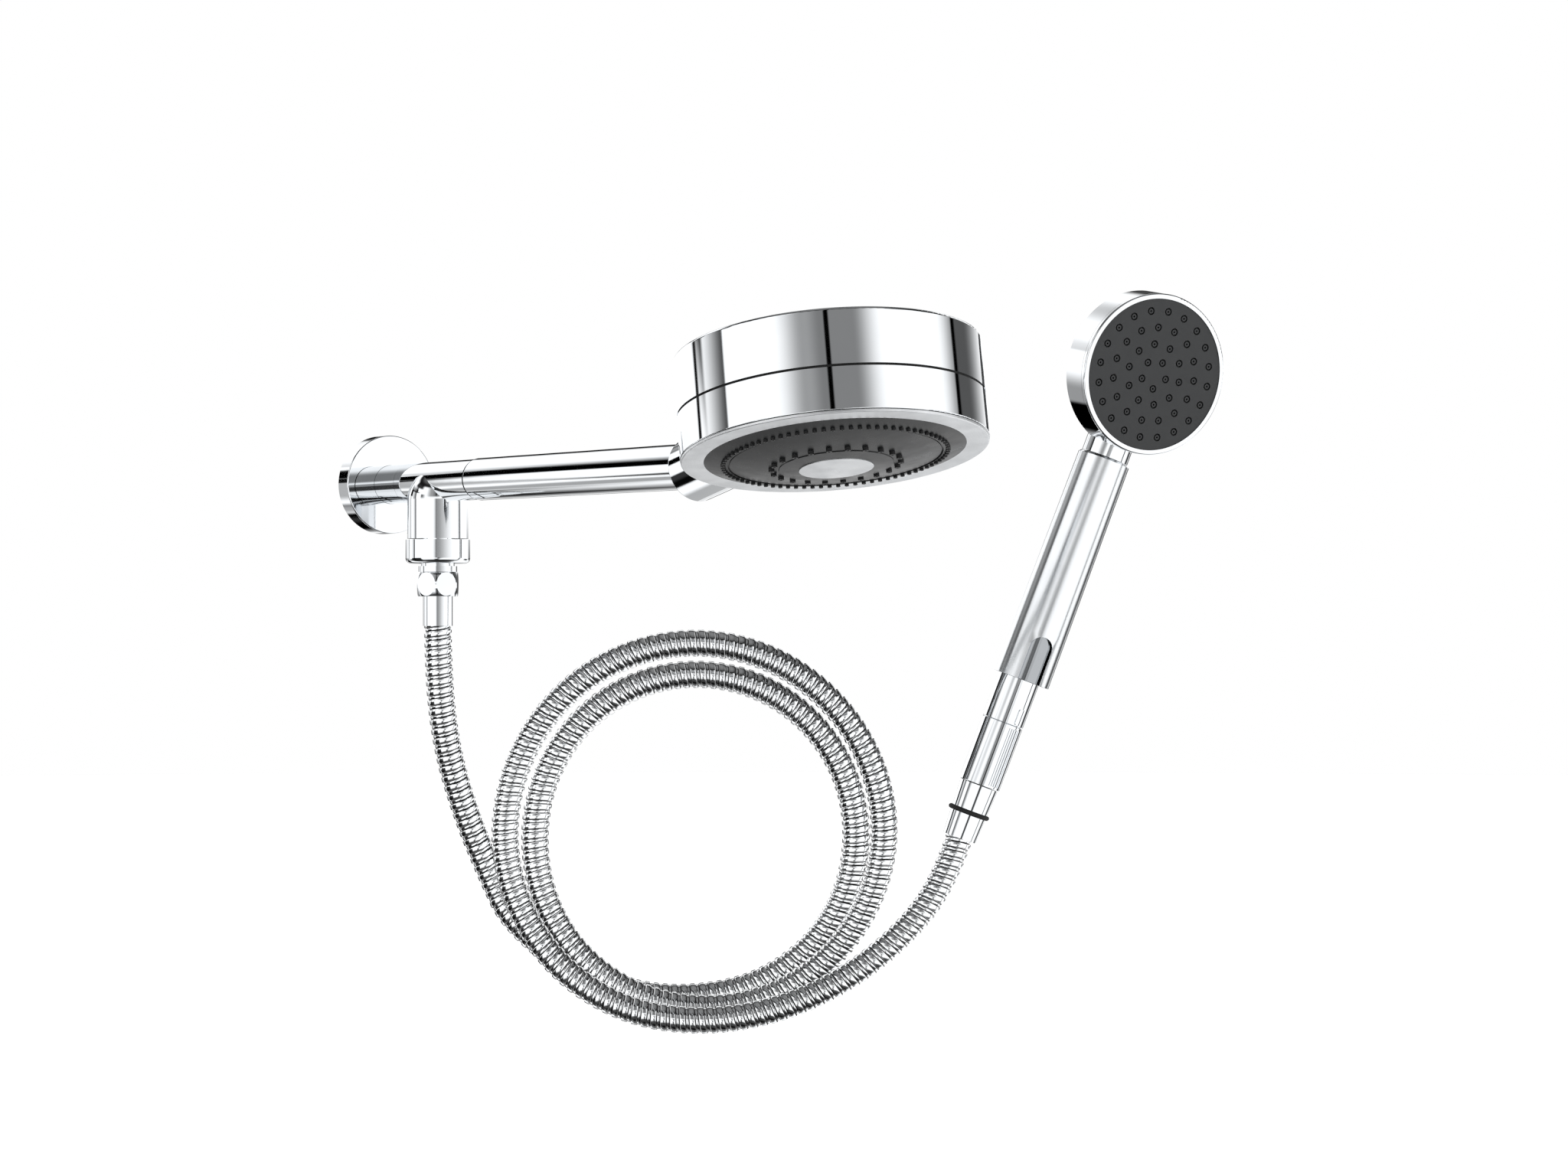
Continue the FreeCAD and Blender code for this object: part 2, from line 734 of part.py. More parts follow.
def make_head_cover():
    """The upper half of the drum, open below."""
    low = "seam"
    outline = [
        ("0", "cover_height - drum_wall"),
        ("drum_radius - drum_wall", "cover_height - drum_wall"),
        ("drum_radius - drum_wall", low),
        ("drum_radius", low),
        ("drum_radius", "cover_height"),
        ("0", "cover_height"),
    ]
    body = turned("cover_shell", outline)
    soften(body, "Fillet", "drum_edge_round", [("drum_radius", "cover_height")])
    body.Placement = DRUM
    keep(combined("Cut", "head_cover", body, boss_hole("cover_boss_hole")), "head_cover")


def make_head_base():
    """The lower half of the drum, with an inward ledge that carries the spray plate."""
    ledge = "rim_inner_radius + 1"
    low = "-base_height"
    outline = [
        (ledge, low),
        ("drum_radius", low),
        ("drum_radius", "-seam"),
        ("drum_radius - drum_wall", "-seam"),
        ("drum_radius - drum_wall", low + " + drum_wall"),
        (ledge, low + " + drum_wall"),
    ]
    body = turned("base_shell", outline)
    soften(body, "Fillet", "0.5", [("drum_radius", low)])
    body.Placement = DRUM
    keep(combined("Cut", "head_base", body, boss_hole("base_boss_hole")), "head_base")


def make_head_gasket():
    """The dark strip in the drum's joint line."""
    body = tube("gasket_ring", "drum_radius - 0.9", "drum_radius - drum_wall - 1.5", "-seam", "seam")
    body.Placement = DRUM
    keep(combined("Cut", "head_gasket", body, boss_hole("gasket_boss_hole")), "head_gasket")


def make_distributor():
    """The chamber that shares the water out, with its socket for the boss's pipe."""
    low = "-base_height + drum_wall + 0.6"
    outline = [
        ("0", low),
        ("rim_inner_radius - 1", low),
        ("rim_inner_radius - 1", low + " + 2.2"),
        ("22", low + " + 2.2"),
        ("22", "-seam"),
        ("0", "-seam"),
    ]
    body = turned("distributor_body", outline)
    ring_of_circles(body, "Pocket", "feed_hole", "0", "36", "2.5", "base_height", 12)
    keep(body, "distributor", DRUM)


def make_cover_screws():
    """Three screws that hold the drum's halves together, clear of the boss."""
    for index in range(3):
        node = "cover_screw_%d" % (index + 1)
        outline = [
            ("0", "-base_height + drum_wall + 0.1"),
            ("screw_radius * 1.7", "-base_height + drum_wall + 0.1"),
            ("screw_radius * 1.7", "-base_height + drum_wall + 2.4"),
            ("screw_radius", "-base_height + drum_wall + 2.4"),
            ("screw_radius", "cover_height - drum_wall - 0.1"),
            ("0", "cover_height - drum_wall - 0.1"),
        ]
        place = DRUM * turn(Z_AXIS, 120 * index - 90) * shift(value("screw_ring_radius + 1.6"), 0, 0)
        keep(turned(node, outline), node, place)


# ---------------------------------------------------------------- spray selector
RIM_TOP = "-base_height - 0.15"
RIM_FACE = "-base_height - 0.15 - rim_thickness"


def make_rim_ring():
    """The flat ring round the spray plate, which is turned to change the spray."""
    inner = "rim_inner_radius + 0.05"
    outline = [
        (inner, RIM_FACE),
        ("drum_radius - 0.3", RIM_FACE),
        ("drum_radius - 0.3", RIM_TOP),
        (inner, RIM_TOP),
    ]
    body = turned("rim_ring", outline)
    soften(body, "Fillet", "0.4", [("drum_radius - 0.3", RIM_FACE)])
    keep(body, "rim_ring", DRUM)


def dome_height(radius):
    """Height of the dome's outer face at this radius."""
    drop = "sqrt(dome_sphere_radius * dome_sphere_radius - (%s) * (%s))" % (radius, radius)
    return "(%s) - dome_rise + dome_sphere_radius - %s" % (RIM_FACE, drop)


def make_spray_plate():
    """A shallow dome with two rings of holes and a shallow groove inside the outer one."""
    edge = "rim_inner_radius"
    groove_out = "outer_ring_radius - 2.2"
    groove_in = "outer_ring_radius - 2.9"
    step = "inner_ring_radius - 3.3"
    cap = "centre_cap_radius + 0.1"
    back = "%s + plate_thickness"
    outline = [
        (cap, dome_height(cap), "dome_sphere_radius"),
        (step, dome_height(step)),
        (step + " + 0.25", "%s + 0.35" % dome_height(step), "dome_sphere_radius"),
        (groove_in, "%s + 0.35" % dome_height(groove_in)),
        (groove_in + " + 0.1", "%s + 0.8" % dome_height(groove_in)),
        (groove_out, "%s + 0.8" % dome_height(groove_out)),
        (groove_out + " + 0.1", dome_height(groove_out), "dome_sphere_radius"),
        (edge, dome_height(edge)),
        (edge, back % dome_height(edge), "-dome_sphere_radius"),
        (cap, back % dome_height(cap)),
    ]
    body = turned("spray_plate", outline)
    outer_hole = "outer_tip_radius + tip_gap"
    inner_hole = "inner_tip_radius + tip_gap"
    ring_of_circles(body, "Pocket", "outer_hole", "0", "outer_ring_radius", outer_hole, "60", value("outer_nozzles"))
    ring_of_circles(body, "Pocket", "inner_hole", "0", "inner_ring_radius", inner_hole, "60", value("inner_nozzles"))
    keep(body, "spray_plate", DRUM)


def make_nozzle_ring(node, ring_radius, tip_radius, count):
    """A soft ring behind the plate whose tips come through the plate's holes."""
    back = "%s + plate_thickness + 0.6" % dome_height(ring_radius)
    front = "plate_thickness + 1.9"
    body = tube(node, ring_radius + " + 2.4", ring_radius + " - 2.4", back, back + " + 0.7")
    ring_of_circles(body, "Pad", node + "_tip", back + " + 0.3", ring_radius, tip_radius, front, value(count))
    jet = tip_radius + " * 0.45"
    ring_of_circles(body, "Pocket", node + "_jet", back + " - 1", ring_radius, jet, "9", value(count))
    keep(body, node, DRUM)


def make_centre_cap():
    """A plain round cap in the middle of the plate."""
    edge = "centre_cap_radius"
    outline = [
        ("0", "%s - 0.35" % dome_height("0"), "dome_sphere_radius"),
        (edge, "%s - 0.35" % dome_height(edge)),
        (edge, "%s + plate_thickness" % dome_height(edge)),
        ("0", "%s + plate_thickness" % dome_height(edge)),
    ]
    keep(turned("centre_cap", outline), "centre_cap", DRUM)


# ---------------------------------------------------------------- hand shower: handle
def make_hose_insert():
    """The hose's end piece, on which the conical nut turns."""
    body = tube("hose_insert", "cone_bore - running_gap", "core_bore", "0.1", "cone_length - 4.4")
    keep(body, "hose_insert", HANDLE)


def make_conical_nut():
    """The tapered nut on the hose end, with a groove for the grip ring."""
    outline = [
        ("cone_bore", "0"),
        ("cone_small_radius", "0"),
        ("cone_large_radius", "cone_length - 0.3"),
        ("core_radius + 0.05", "cone_length - 0.3"),
        ("core_radius + 0.05", "cone_length - 4.2"),
        ("cone_bore", "cone_length - 4.2"),
    ]
    body = turned("cone_blank", outline)
    body.Placement = HANDLE
    groove = torus("cone_groove", "o_ring_section + 0.05")
    keep(combined("Cut", "conical_nut", body, groove), "conical_nut")


def torus(name, section):
    ring = DOC.addObject("Part::Torus", name)
    bind(ring, Radius1="o_ring_centre_radius", Radius2=section)
    ring.Placement = HANDLE * shift(0, 0, value("o_ring_height"))
    return ring


def make_cone_o_ring():
    keep(torus("cone_o_ring", "o_ring_section"), "cone_o_ring")


def make_inlet_filter():
    body = tube("inlet_filter", "core_radius - 0.1", "core_bore * 0.5", "cone_length - 4.1", "cone_length - 2.2")
    keep(body, "inlet_filter", HANDLE)


def make_handle_core():
    """The water tube inside the handle."""
    high = "cone_length + flow_ring_length + inner_tube_length + sleeve_length - 0.5"
    keep(tube("handle_core", "core_radius", "core_bore", "cone_length - 2.1", high), "handle_core", HANDLE)


def make_check_valve():
    low = "cone_length + 6"
    keep(tube("check_valve", "core_bore - 0.05", "2", low, low + " + 12"), "check_valve", HANDLE)


def make_flow_ring():
    """The turning ring under the handle, with a strip of grip ribs."""
    low = "cone_length"
    high = "cone_length + flow_ring_length - 0.25"
    ring = tube("flow_ring_body", "inner_tube_radius", "core_radius + running_gap", low, high)
    soften(ring, "Chamfer", "0.3", [("inner_tube_radius", low), ("inner_tube_radius", high)])
    ring.Placement = HANDLE
    shapes = [ring]
    count = int(value("rib_count"))
    for index in range(count):
        offset = index - (count - 1) / 2
        angle = math.degrees(offset * value("rib_pitch / inner_tube_radius"))
        rib = DOC.addObject("Part::Box", "rib_%d" % (index + 1))
        bind(rib, Length="rib_width", Width="rib_height + 0.5", Height="rib_length")
        facing = turn(Z_AXIS, value("rib_turn") + angle)
        corner = shift(-value("rib_width / 2"), -value("inner_tube_radius + rib_height"), value("cone_length + 1.4"))
        rib.Placement = HANDLE * facing * corner
        shapes.append(rib)
    fused = DOC.addObject("Part::MultiFuse", "flow_ring")
    fused.Shapes = shapes
    DOC.recompute()
    keep(fused, "flow_ring")


def make_inner_tube():
    low = "cone_length + flow_ring_length"
    high = "cone_length + flow_ring_length + inner_tube_length - 0.1"
    body = tube("inner_tube", "inner_tube_radius", "core_radius + 0.05", low, high)
    soften(body, "Chamfer", "0.25", [("inner_tube_radius", low)])
    keep(body, "inner_tube", HANDLE)


def make_index_key():
    """A small raised mark just above the turning ring, with rounded corners."""
    low = "cone_length + flow_ring_length + 0.6"
    outer = "inner_tube_radius + key_height"
    ring = tube("key_ring", outer, "inner_tube_radius + 0.02", low, low + " + key_length")
    ring.Placement = HANDLE
    block = DOC.addObject("Part::Box", "key_block")
    bind(block, Length="key_width", Width="5", Height="key_length")
    corner = shift(-value("key_width / 2"), -value("inner_tube_radius + 3"), value(low))
    block.Placement = HANDLE * turn(Z_AXIS, value("rib_turn")) * corner
    DOC.recompute()
    rounded = DOC.addObject("Part::Fillet", "key_rounded")
    rounded.Base = block
    radius = value("key_width * 0.35")
    edges = [i for i, edge in enumerate(block.Shape.Edges, start=1) if abs(edge.Length - 5) < 1e-6]
    rounded.Edges = [(index, radius, radius) for index in edges]
    keep(combined("Common", "index_key", ring, rounded), "index_key")


def make_grip_sleeve():
    """The slightly tapered grip, with a round-topped slot that is open at its lower rim."""
    outline = [
        ("sleeve_bottom_radius - sleeve_wall", "0"),
        ("sleeve_bottom_radius", "0"),
        ("sleeve_top_radius", "sleeve_length"),
        ("sleeve_top_radius - sleeve_wall", "sleeve_length"),
    ]
    body = turned("sleeve_shell", outline)
    soften(body, "Chamfer", "sleeve_chamfer", [("sleeve_top_radius", "sleeve_length")])
    body.Placement = SLEEVE
    facing = SLEEVE * turn(Z_AXIS, -value("slot_turn"))
    block = DOC.addObject("Part::Box", "slot_block")
    bind(block, Length="slot_width", Width="20", Height="slot_length - slot_width / 2 + 1")
    block.Placement = facing * shift(-value("slot_width / 2"), -20, -1)
    top = cylinder("slot_top", "slot_width / 2", "20", facing * shift(0, 0, value("slot_length - slot_width / 2")) * FORWARD)
    cutter = combined("Fuse", "slot_cutter", block, top)
    keep(combined("Cut", "grip_sleeve", body, cutter), "grip_sleeve")


def make_sleeve_liner():
    """The liner under the grip, bored off centre for the water tube."""
    solid = rod("liner_rod", "liner_radius", "0.05", "sleeve_length - 0.2")
    solid.Placement = SLEEVE
    bore = cylinder("liner_bore", "core_radius + 0.05", "sleeve_length + 2", HANDLE * shift(0, 0, SLEEVE_START - 1))
    keep(combined("Cut", "sleeve_liner", solid, bore), "sleeve_liner")


# ---------------------------------------------------------------- hand shower: head
BACK = "face_lead - disc_depth"
RIM_BACK = "face_lead - disc_rim_depth"


def make_handset_shell():
    """The head's cup with a bulged back, on the neck that comes up out of the grip."""
    crown = "(disc_radius * disc_radius + disc_back_bulge * disc_back_bulge) / (2 * disc_back_bulge)"
    cup_outline = [
        ("0", "%s - disc_back_bulge" % BACK, crown),
        ("disc_radius", BACK),
        ("disc_radius", RIM_BACK),
        ("0", RIM_BACK),
    ]
    cup = turned("shell_cup", cup_outline)
    cup.Placement = FACE
    neck_low = value("sleeve_length + 0.3")
    neck_reach = value("face_height - 22")
    neck = cylinder("shell_neck", "neck_tube_radius", "face_height - 22", SLEEVE * shift(0, 0, neck_low))
    end = DOC.addObject("Part::Sphere", "shell_neck_end")
    bind(end, Radius="neck_tube_radius")
    end.Placement = SLEEVE * shift(0, 0, neck_low + neck_reach)
    solid = DOC.addObject("Part::MultiFuse", "shell_solid")
    solid.Shapes = [cup, neck, end]
    room_outline = [
        ("0", "%s + disc_wall" % BACK),
        ("disc_radius - disc_wall", "%s + disc_wall" % BACK),
        ("disc_radius - disc_wall", "face_lead + 1"),
        ("0", "face_lead + 1"),
    ]
    room = turned("shell_room", room_outline)
    room.Placement = FACE
    pipe = cylinder("shell_pipe", "core_radius - 1", "face_height - 18", SLEEVE * shift(0, 0, neck_low - 1))
    roomy = combined("Cut", "shell_roomy", solid, room)
    keep(combined("Cut", "handset_shell", roomy, pipe), "handset_shell")


def make_handset_rim():
    """The bright ring round the spray face."""
    outline = [
        ("face_radius + 0.05", "%s + 0.15" % RIM_BACK),
        ("disc_radius", "%s + 0.15" % RIM_BACK),
        ("disc_radius", "face_lead"),
        ("face_radius + 0.05", "face_lead"),
    ]
    body = turned("handset_rim", outline)
    soften(body, "Fillet", "0.9", [("disc_radius", "face_lead")])
    keep(body, "handset_rim", FACE)


def make_handset_face():
    """The dark face, with a round dimple at each nozzle."""
    front = "face_lead - face_recess"
    body = rod("handset_face", "face_radius", front + " - face_thickness", front)
    for index, (count, share, start) in enumerate(HAND_RINGS):
        radius = "face_radius * %s" % share
        name = "dimple_%d" % (index + 1)
        deep = "face_thickness + 1"
        ring_of_circles(body, "Pocket", name, front + " + 0.1", radius, "dimple_radius", deep, count, start)
    keep(body, "handset_face", FACE)


def make_handset_nozzles():
    """The soft sheet behind the face, with a pierced tip in each dimple."""
    back = "face_lead - face_recess - face_thickness - 0.05"
    body = rod("handset_nozzles", "face_radius - 0.6", back + " - 1.4", back)
    tip_top = back + " + face_thickness - 0.1"
    for index, (count, share, start) in enumerate(HAND_RINGS):
        radius = "face_radius * %s" % share
        number = index + 1
        ring_of_circles(body, "Pad", "nipple_%d" % number, tip_top, radius, "nipple_radius", "2.4", count, start)
        ring_of_circles(body, "Pocket", "jet_%d" % number, tip_top + " + 1", radius, "jet_radius", "6", count, start)
    keep(body, "handset_nozzles", FACE)


def make_handset_inside():
    """Distributor plate, seal ring and centre screw behind the nozzle sheet."""
    plate_top = "face_lead - face_recess - face_thickness - 1.6"
    plate_low = plate_top + " - 1.8"
    plate = rod("handset_distributor", "face_radius - 2.4", plate_low, plate_top)
    ring_of_circles(plate, "Pocket", "handset_feed", plate_top + " + 1", "face_radius * 0.55", "1.6", "6", 12)
    keep(plate, "handset_distributor", FACE)
    seal_low = plate_low + " - 2.3"
    seal = tube("handset_seal", "face_radius - 0.2", "face_radius - 4", seal_low, plate_low + " - 0.1")
    keep(seal, "handset_seal", FACE)
    screw_top = plate_low + " - 0.1"
    keep(rod("face_screw", "2.2", "%s + disc_wall + 0.1" % BACK, screw_top), "face_screw", FACE)


# ---------------------------------------------------------------- build
def build():
    make_wall_nipple()
    make_wall_flange()
    make_flange_seal()
    make_tee_body()
    make_diverter_collar()
    make_diverter_spool()
    make_outlet_nipple()
    make_hose_nut()
    make_hose_washer()
    make_hose_ferrule()
    make_hose_stretch("hose_lead", HOSE_LEAD)
    make_hose_coil()
    make_hose_stretch("hose_tail", HOSE_TAIL)
    make_arm_seal_ring()
    make_arm_tube()
    make_arm_inner_pipe()
    make_ball_stem()
    make_ball_seal()
    make_swivel_boss()
    make_flow_restrictor()
    make_head_cover()
    make_head_base()
    make_head_gasket()
    make_distributor()
    make_cover_screws()
    make_rim_ring()
    make_spray_plate()
    make_nozzle_ring("outer_nozzle_ring", "outer_ring_radius", "outer_tip_radius", "outer_nozzles")
    make_nozzle_ring("inner_nozzle_ring", "inner_ring_radius", "inner_tip_radius", "inner_nozzles")
    make_centre_cap()
    make_hose_insert()
    make_conical_nut()
    make_cone_o_ring()
    make_inlet_filter()
    make_handle_core()
    make_check_valve()
    make_flow_ring()
    make_inner_tube()
    make_index_key()
    make_grip_sleeve()
    make_sleeve_liner()
    make_handset_shell()
    make_handset_rim()
    make_handset_face()
    make_handset_nozzles()
    make_handset_inside()


def check():
    """Refuse to write anything if an object failed."""
    for thing in DOC.Objects:
        if "Invalid" in thing.State or "Error" in thing.State:
            raise RuntimeError("%s failed" % thing.Label)
    for piece in PIECES:
        if piece.Shape.isNull() or not piece.Shape.isValid():
            raise RuntimeError("%s has no valid shape" % piece.Label)


def export():
    os.makedirs("parts", exist_ok=True)
    for piece in PIECES:
        piece.Shape.exportStep("parts/%s.step" % piece.Label)
        print("%-22s solids %d  volume %.0f mm3" % (piece.Label, len(piece.Shape.Solids), piece.Shape.Volume))


build()
DOC.recompute()
check()
export()
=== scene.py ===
"""Looks for a wall shower set: tee with diverter, overhead drum head, coiled metal hose and hand shower."""

import logging
import math
from dataclasses import dataclass, field
from enum import Enum

import bpy
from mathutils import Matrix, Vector


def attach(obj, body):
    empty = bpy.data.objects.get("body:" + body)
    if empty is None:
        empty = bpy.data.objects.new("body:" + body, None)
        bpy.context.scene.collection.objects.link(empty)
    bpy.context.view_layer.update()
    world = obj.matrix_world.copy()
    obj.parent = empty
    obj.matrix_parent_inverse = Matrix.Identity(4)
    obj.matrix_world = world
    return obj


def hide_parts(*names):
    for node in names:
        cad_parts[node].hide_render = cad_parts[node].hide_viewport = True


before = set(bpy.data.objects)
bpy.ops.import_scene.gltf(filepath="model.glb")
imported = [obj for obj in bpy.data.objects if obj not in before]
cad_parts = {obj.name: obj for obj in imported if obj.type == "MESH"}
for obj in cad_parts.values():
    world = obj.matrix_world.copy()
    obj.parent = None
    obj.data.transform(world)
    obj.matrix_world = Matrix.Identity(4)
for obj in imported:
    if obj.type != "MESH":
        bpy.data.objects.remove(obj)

LOG = logging.getLogger("shower")
MM = 0.001

# The free hose hangs in an upright plane through the tee's outlet: these are that plane's directions.
PLANE_TURN = math.radians(34.7)
PLANE_ORIGIN = Vector((0.0, -0.059, 0.0))
ACROSS = Vector((math.cos(PLANE_TURN), -math.sin(PLANE_TURN), 0.0))
FRONT = Vector((-math.sin(PLANE_TURN), -math.cos(PLANE_TURN), 0.0))
UP = Vector((0.0, 0.0, 1.0))
# The tent, the floor and the lamps are centred on this point, near the middle of the object.
STAGE_MIDDLE = Vector((0.13, -0.24, -0.1))
# Nearly all of a noise texture's values lie between these two.
NOISE_LOW, NOISE_HIGH = 0.3, 0.7


class Lay(Enum):
    """Which way a turned or wound pattern runs round its axis."""

    RIGHT_HAND = 1
    LEFT_HAND = -1


def in_hose_plane(across: float, up: float, front: float) -> Vector:
    """Gives the place of a point of the hose plane.

    Args:
        across: millimetres to the right of the tee's axis.
        up: millimetres above the arm's axis.
        front: millimetres towards the viewer.

    Returns:
        The point in metres, in the shared frame.
    """
    return PLANE_ORIGIN + (ACROSS * across + UP * up + FRONT * front) * MM


def linear(hex_colour: str) -> tuple[float, float, float, float]:
    """Turns a colour as it is seen on a screen into the one that shaders use.

    Args:
        hex_colour: sRGB colour, such as "#C9CCCF".

    Returns:
        Linear red, green and blue, and an alpha of 1.
    """
    shares = [int(hex_colour[i : i + 2], 16) / 255 for i in (1, 3, 5)]
    red, green, blue = (s / 12.92 if s <= 0.04045 else ((s + 0.055) / 1.055) ** 2.4 for s in shares)
    return red, green, blue, 1.0


def add_node(
    tree: bpy.types.NodeTree,
    kind: str,
    settings: dict | None = None,
    values: dict | None = None,
    links: dict | None = None,
) -> bpy.types.Node:
    """Adds one node with its settings, its fixed inputs and its links.

    Args:
        tree: the node tree that gets the node.
        kind: the node's type name.
        settings: properties of the node itself.
        values: fixed input values, by input name or number.
        links: output sockets that feed its inputs, by input name or number.

    Returns:
        The new node.
    """
    node = tree.nodes.new(kind)
    for name, value in (settings or {}).items():
        setattr(node, name, value)
    for name, value in (values or {}).items():
        node.inputs[name].default_value = value
    for name, source in (links or {}).items():
        tree.links.new(source, node.inputs[name])
    return node


def blank_material(name: str) -> tuple[bpy.types.Material, bpy.types.Node]:
    """Makes a material that holds only a shader and its output.

    Args:
        name: the material's name.

    Returns:
        The material and its Principled shader.
    """
    material = bpy.data.materials.new(name)
    material.use_nodes = True
    tree = material.node_tree
    tree.nodes.clear()
    shader = add_node(tree, "ShaderNodeBsdfPrincipled")
    add_node(tree, "ShaderNodeOutputMaterial", links={"Surface": shader.outputs["BSDF"]})
    return material, shader


def grain_scale(size_mm: float) -> float:
    """Gives the Noise or Voronoi scale whose spots are this many millimetres wide."""
    return 1000.0 / size_mm


# ---------------------------------------------------------------- finishes


@dataclass(frozen=True)
class ChromePlating:
    """Bright nickel-chrome plating: a cool mirror, a little duller where fingers and cloths touch it."""

    name: str
    colour: str = "#E9EBED"
    haze_colour: str = "#DDE0E3"
    roughness: float = 0.035
    haze: float = 0.03
    haze_mm: float = 26.0
    haze_span: tuple[float, float] = (0.35, 0.75)
    wave_mm: float = 17.0
    wave_depth_mm: float = 0.010

    def material(self) -> bpy.types.Material:
        """Builds the plating's material.

        Returns:
            The material, patterned on Object coordinates.
        """
        material, shader = blank_material(self.name)
        tree = material.node_tree
        place = add_node(tree, "ShaderNodeTexCoord").outputs["Object"]
        haze = add_node(
            tree,
            "ShaderNodeTexNoise",
            values={"Scale": grain_scale(self.haze_mm), "Detail": 3.0, "Roughness": 0.6},
            links={"Vector": place},
        ).outputs["Fac"]
        colour = add_node(
            tree,
            "ShaderNodeMix",
            {"data_type": "RGBA"},
            values={6: linear(self.colour), 7: linear(self.haze_colour)},
            links={0: haze},
        ).outputs[2]
        rough = add_node(
            tree,
            "ShaderNodeMapRange",
            values={
                "From Min": self.haze_span[0],
                "From Max": self.haze_span[1],
                "To Min": self.roughness,
                "To Max": self.roughness + self.haze,
            },
            links={"Value": haze},
        ).outputs["Result"]
        # A buffing wheel leaves long shallow waves on brass; on moulded plastic they are fainter.
        wave = add_node(
            tree,
            "ShaderNodeTexNoise",
            values={"Scale": grain_scale(self.wave_mm), "Detail": 1.0},
            links={"Vector": place},
        ).outputs["Fac"]
        bump = add_node(
            tree,
            "ShaderNodeBump",
            values={"Strength": 1.0, "Distance": self.wave_depth_mm * MM},
            links={"Height": wave},
        ).outputs["Normal"]
        shader.inputs["Metallic"].default_value = 1.0
        tree.links.new(colour, shader.inputs["Base Color"])
        tree.links.new(rough, shader.inputs["Roughness"])
        tree.links.new(bump, shader.inputs["Normal"])
        return material


@dataclass(frozen=True)
class TurnedMetal:
    """Metal as the lathe or the brush leaves it: fine rings round its axis, and a soft streaked shine."""

    name: str
    colour: str
    groove_colour: str
    roughness: float
    ring_mm: float
    ring_depth_mm: float
    axis_point: Vector = Vector((0, 0, 0))
    axis: Vector = UP
    blotch_mm: float = 11.0
    ring_share: float = 0.6
    tone_span: tuple[float, float] = (0.55, 1.05)
    shine_span: tuple[float, float] = (0.8, 1.25)

    def material(self) -> bpy.types.Material:
        """Builds the turned metal's material.

        Returns:
            The material, with rings centred on its axis.
        """
        material, shader = blank_material(self.name)
        tree = material.node_tree
        place = add_node(tree, "ShaderNodeTexCoord").outputs["Object"]
        turn = self.axis.rotation_difference(UP).to_matrix()
        centred = add_node(
            tree,
            "ShaderNodeMapping",
            values={"Location": -(turn @ self.axis_point), "Rotation": turn.to_euler()},
            links={"Vector": place},
        ).outputs["Vector"]
        flat = add_node(
            tree,
            "ShaderNodeVectorMath",
            {"operation": "MULTIPLY"},
            values={1: (1.0, 1.0, 0.0)},
            links={0: centred},
        ).outputs[0]
        radius = add_node(
            tree, "ShaderNodeVectorMath", {"operation": "LENGTH"}, links={0: flat}
        ).outputs["Value"]
        rings = add_node(
            tree,
            "ShaderNodeTexNoise",
            {"noise_dimensions": "1D"},
            values={"Scale": grain_scale(self.ring_mm), "Detail": 3.0, "Roughness": 0.7},
            links={"W": radius},
        ).outputs["Fac"]
        blotch = add_node(
            tree,
            "ShaderNodeTexNoise",
            values={"Scale": grain_scale(self.blotch_mm), "Detail": 4.0},
            links={"Vector": place},
        ).outputs["Fac"]
        tone = add_node(
            tree,
            "ShaderNodeMath",
            {"operation": "MULTIPLY_ADD"},
            values={1: self.ring_share},
            links={0: rings, 2: blotch},
        ).outputs[0]
        share = add_node(
            tree,
            "ShaderNodeMapRange",
            values={"From Min": self.tone_span[0], "From Max": self.tone_span[1]},
            links={"Value": tone},
        ).outputs["Result"]
        colour = add_node(
            tree,
            "ShaderNodeMix",
            {"data_type": "RGBA"},
            values={6: linear(self.colour), 7: linear(self.groove_colour)},
            links={0: share},
        ).outputs[2]
        rough = add_node(
            tree,
            "ShaderNodeMapRange",
            values={
                "To Min": self.roughness * self.shine_span[0],
                "To Max": self.roughness * self.shine_span[1],
            },
            links={"Value": share},
        ).outputs["Result"]
        bump = add_node(
            tree,
            "ShaderNodeBump",
            values={"Strength": 1.0, "Distance": self.ring_depth_mm * MM},
            links={"Height": rings},
        ).outputs["Normal"]
        shader.inputs["Metallic"].default_value = 1.0
        tree.links.new(colour, shader.inputs["Base Color"])
        tree.links.new(rough, shader.inputs["Roughness"])
        tree.links.new(bump, shader.inputs["Normal"])
        return material


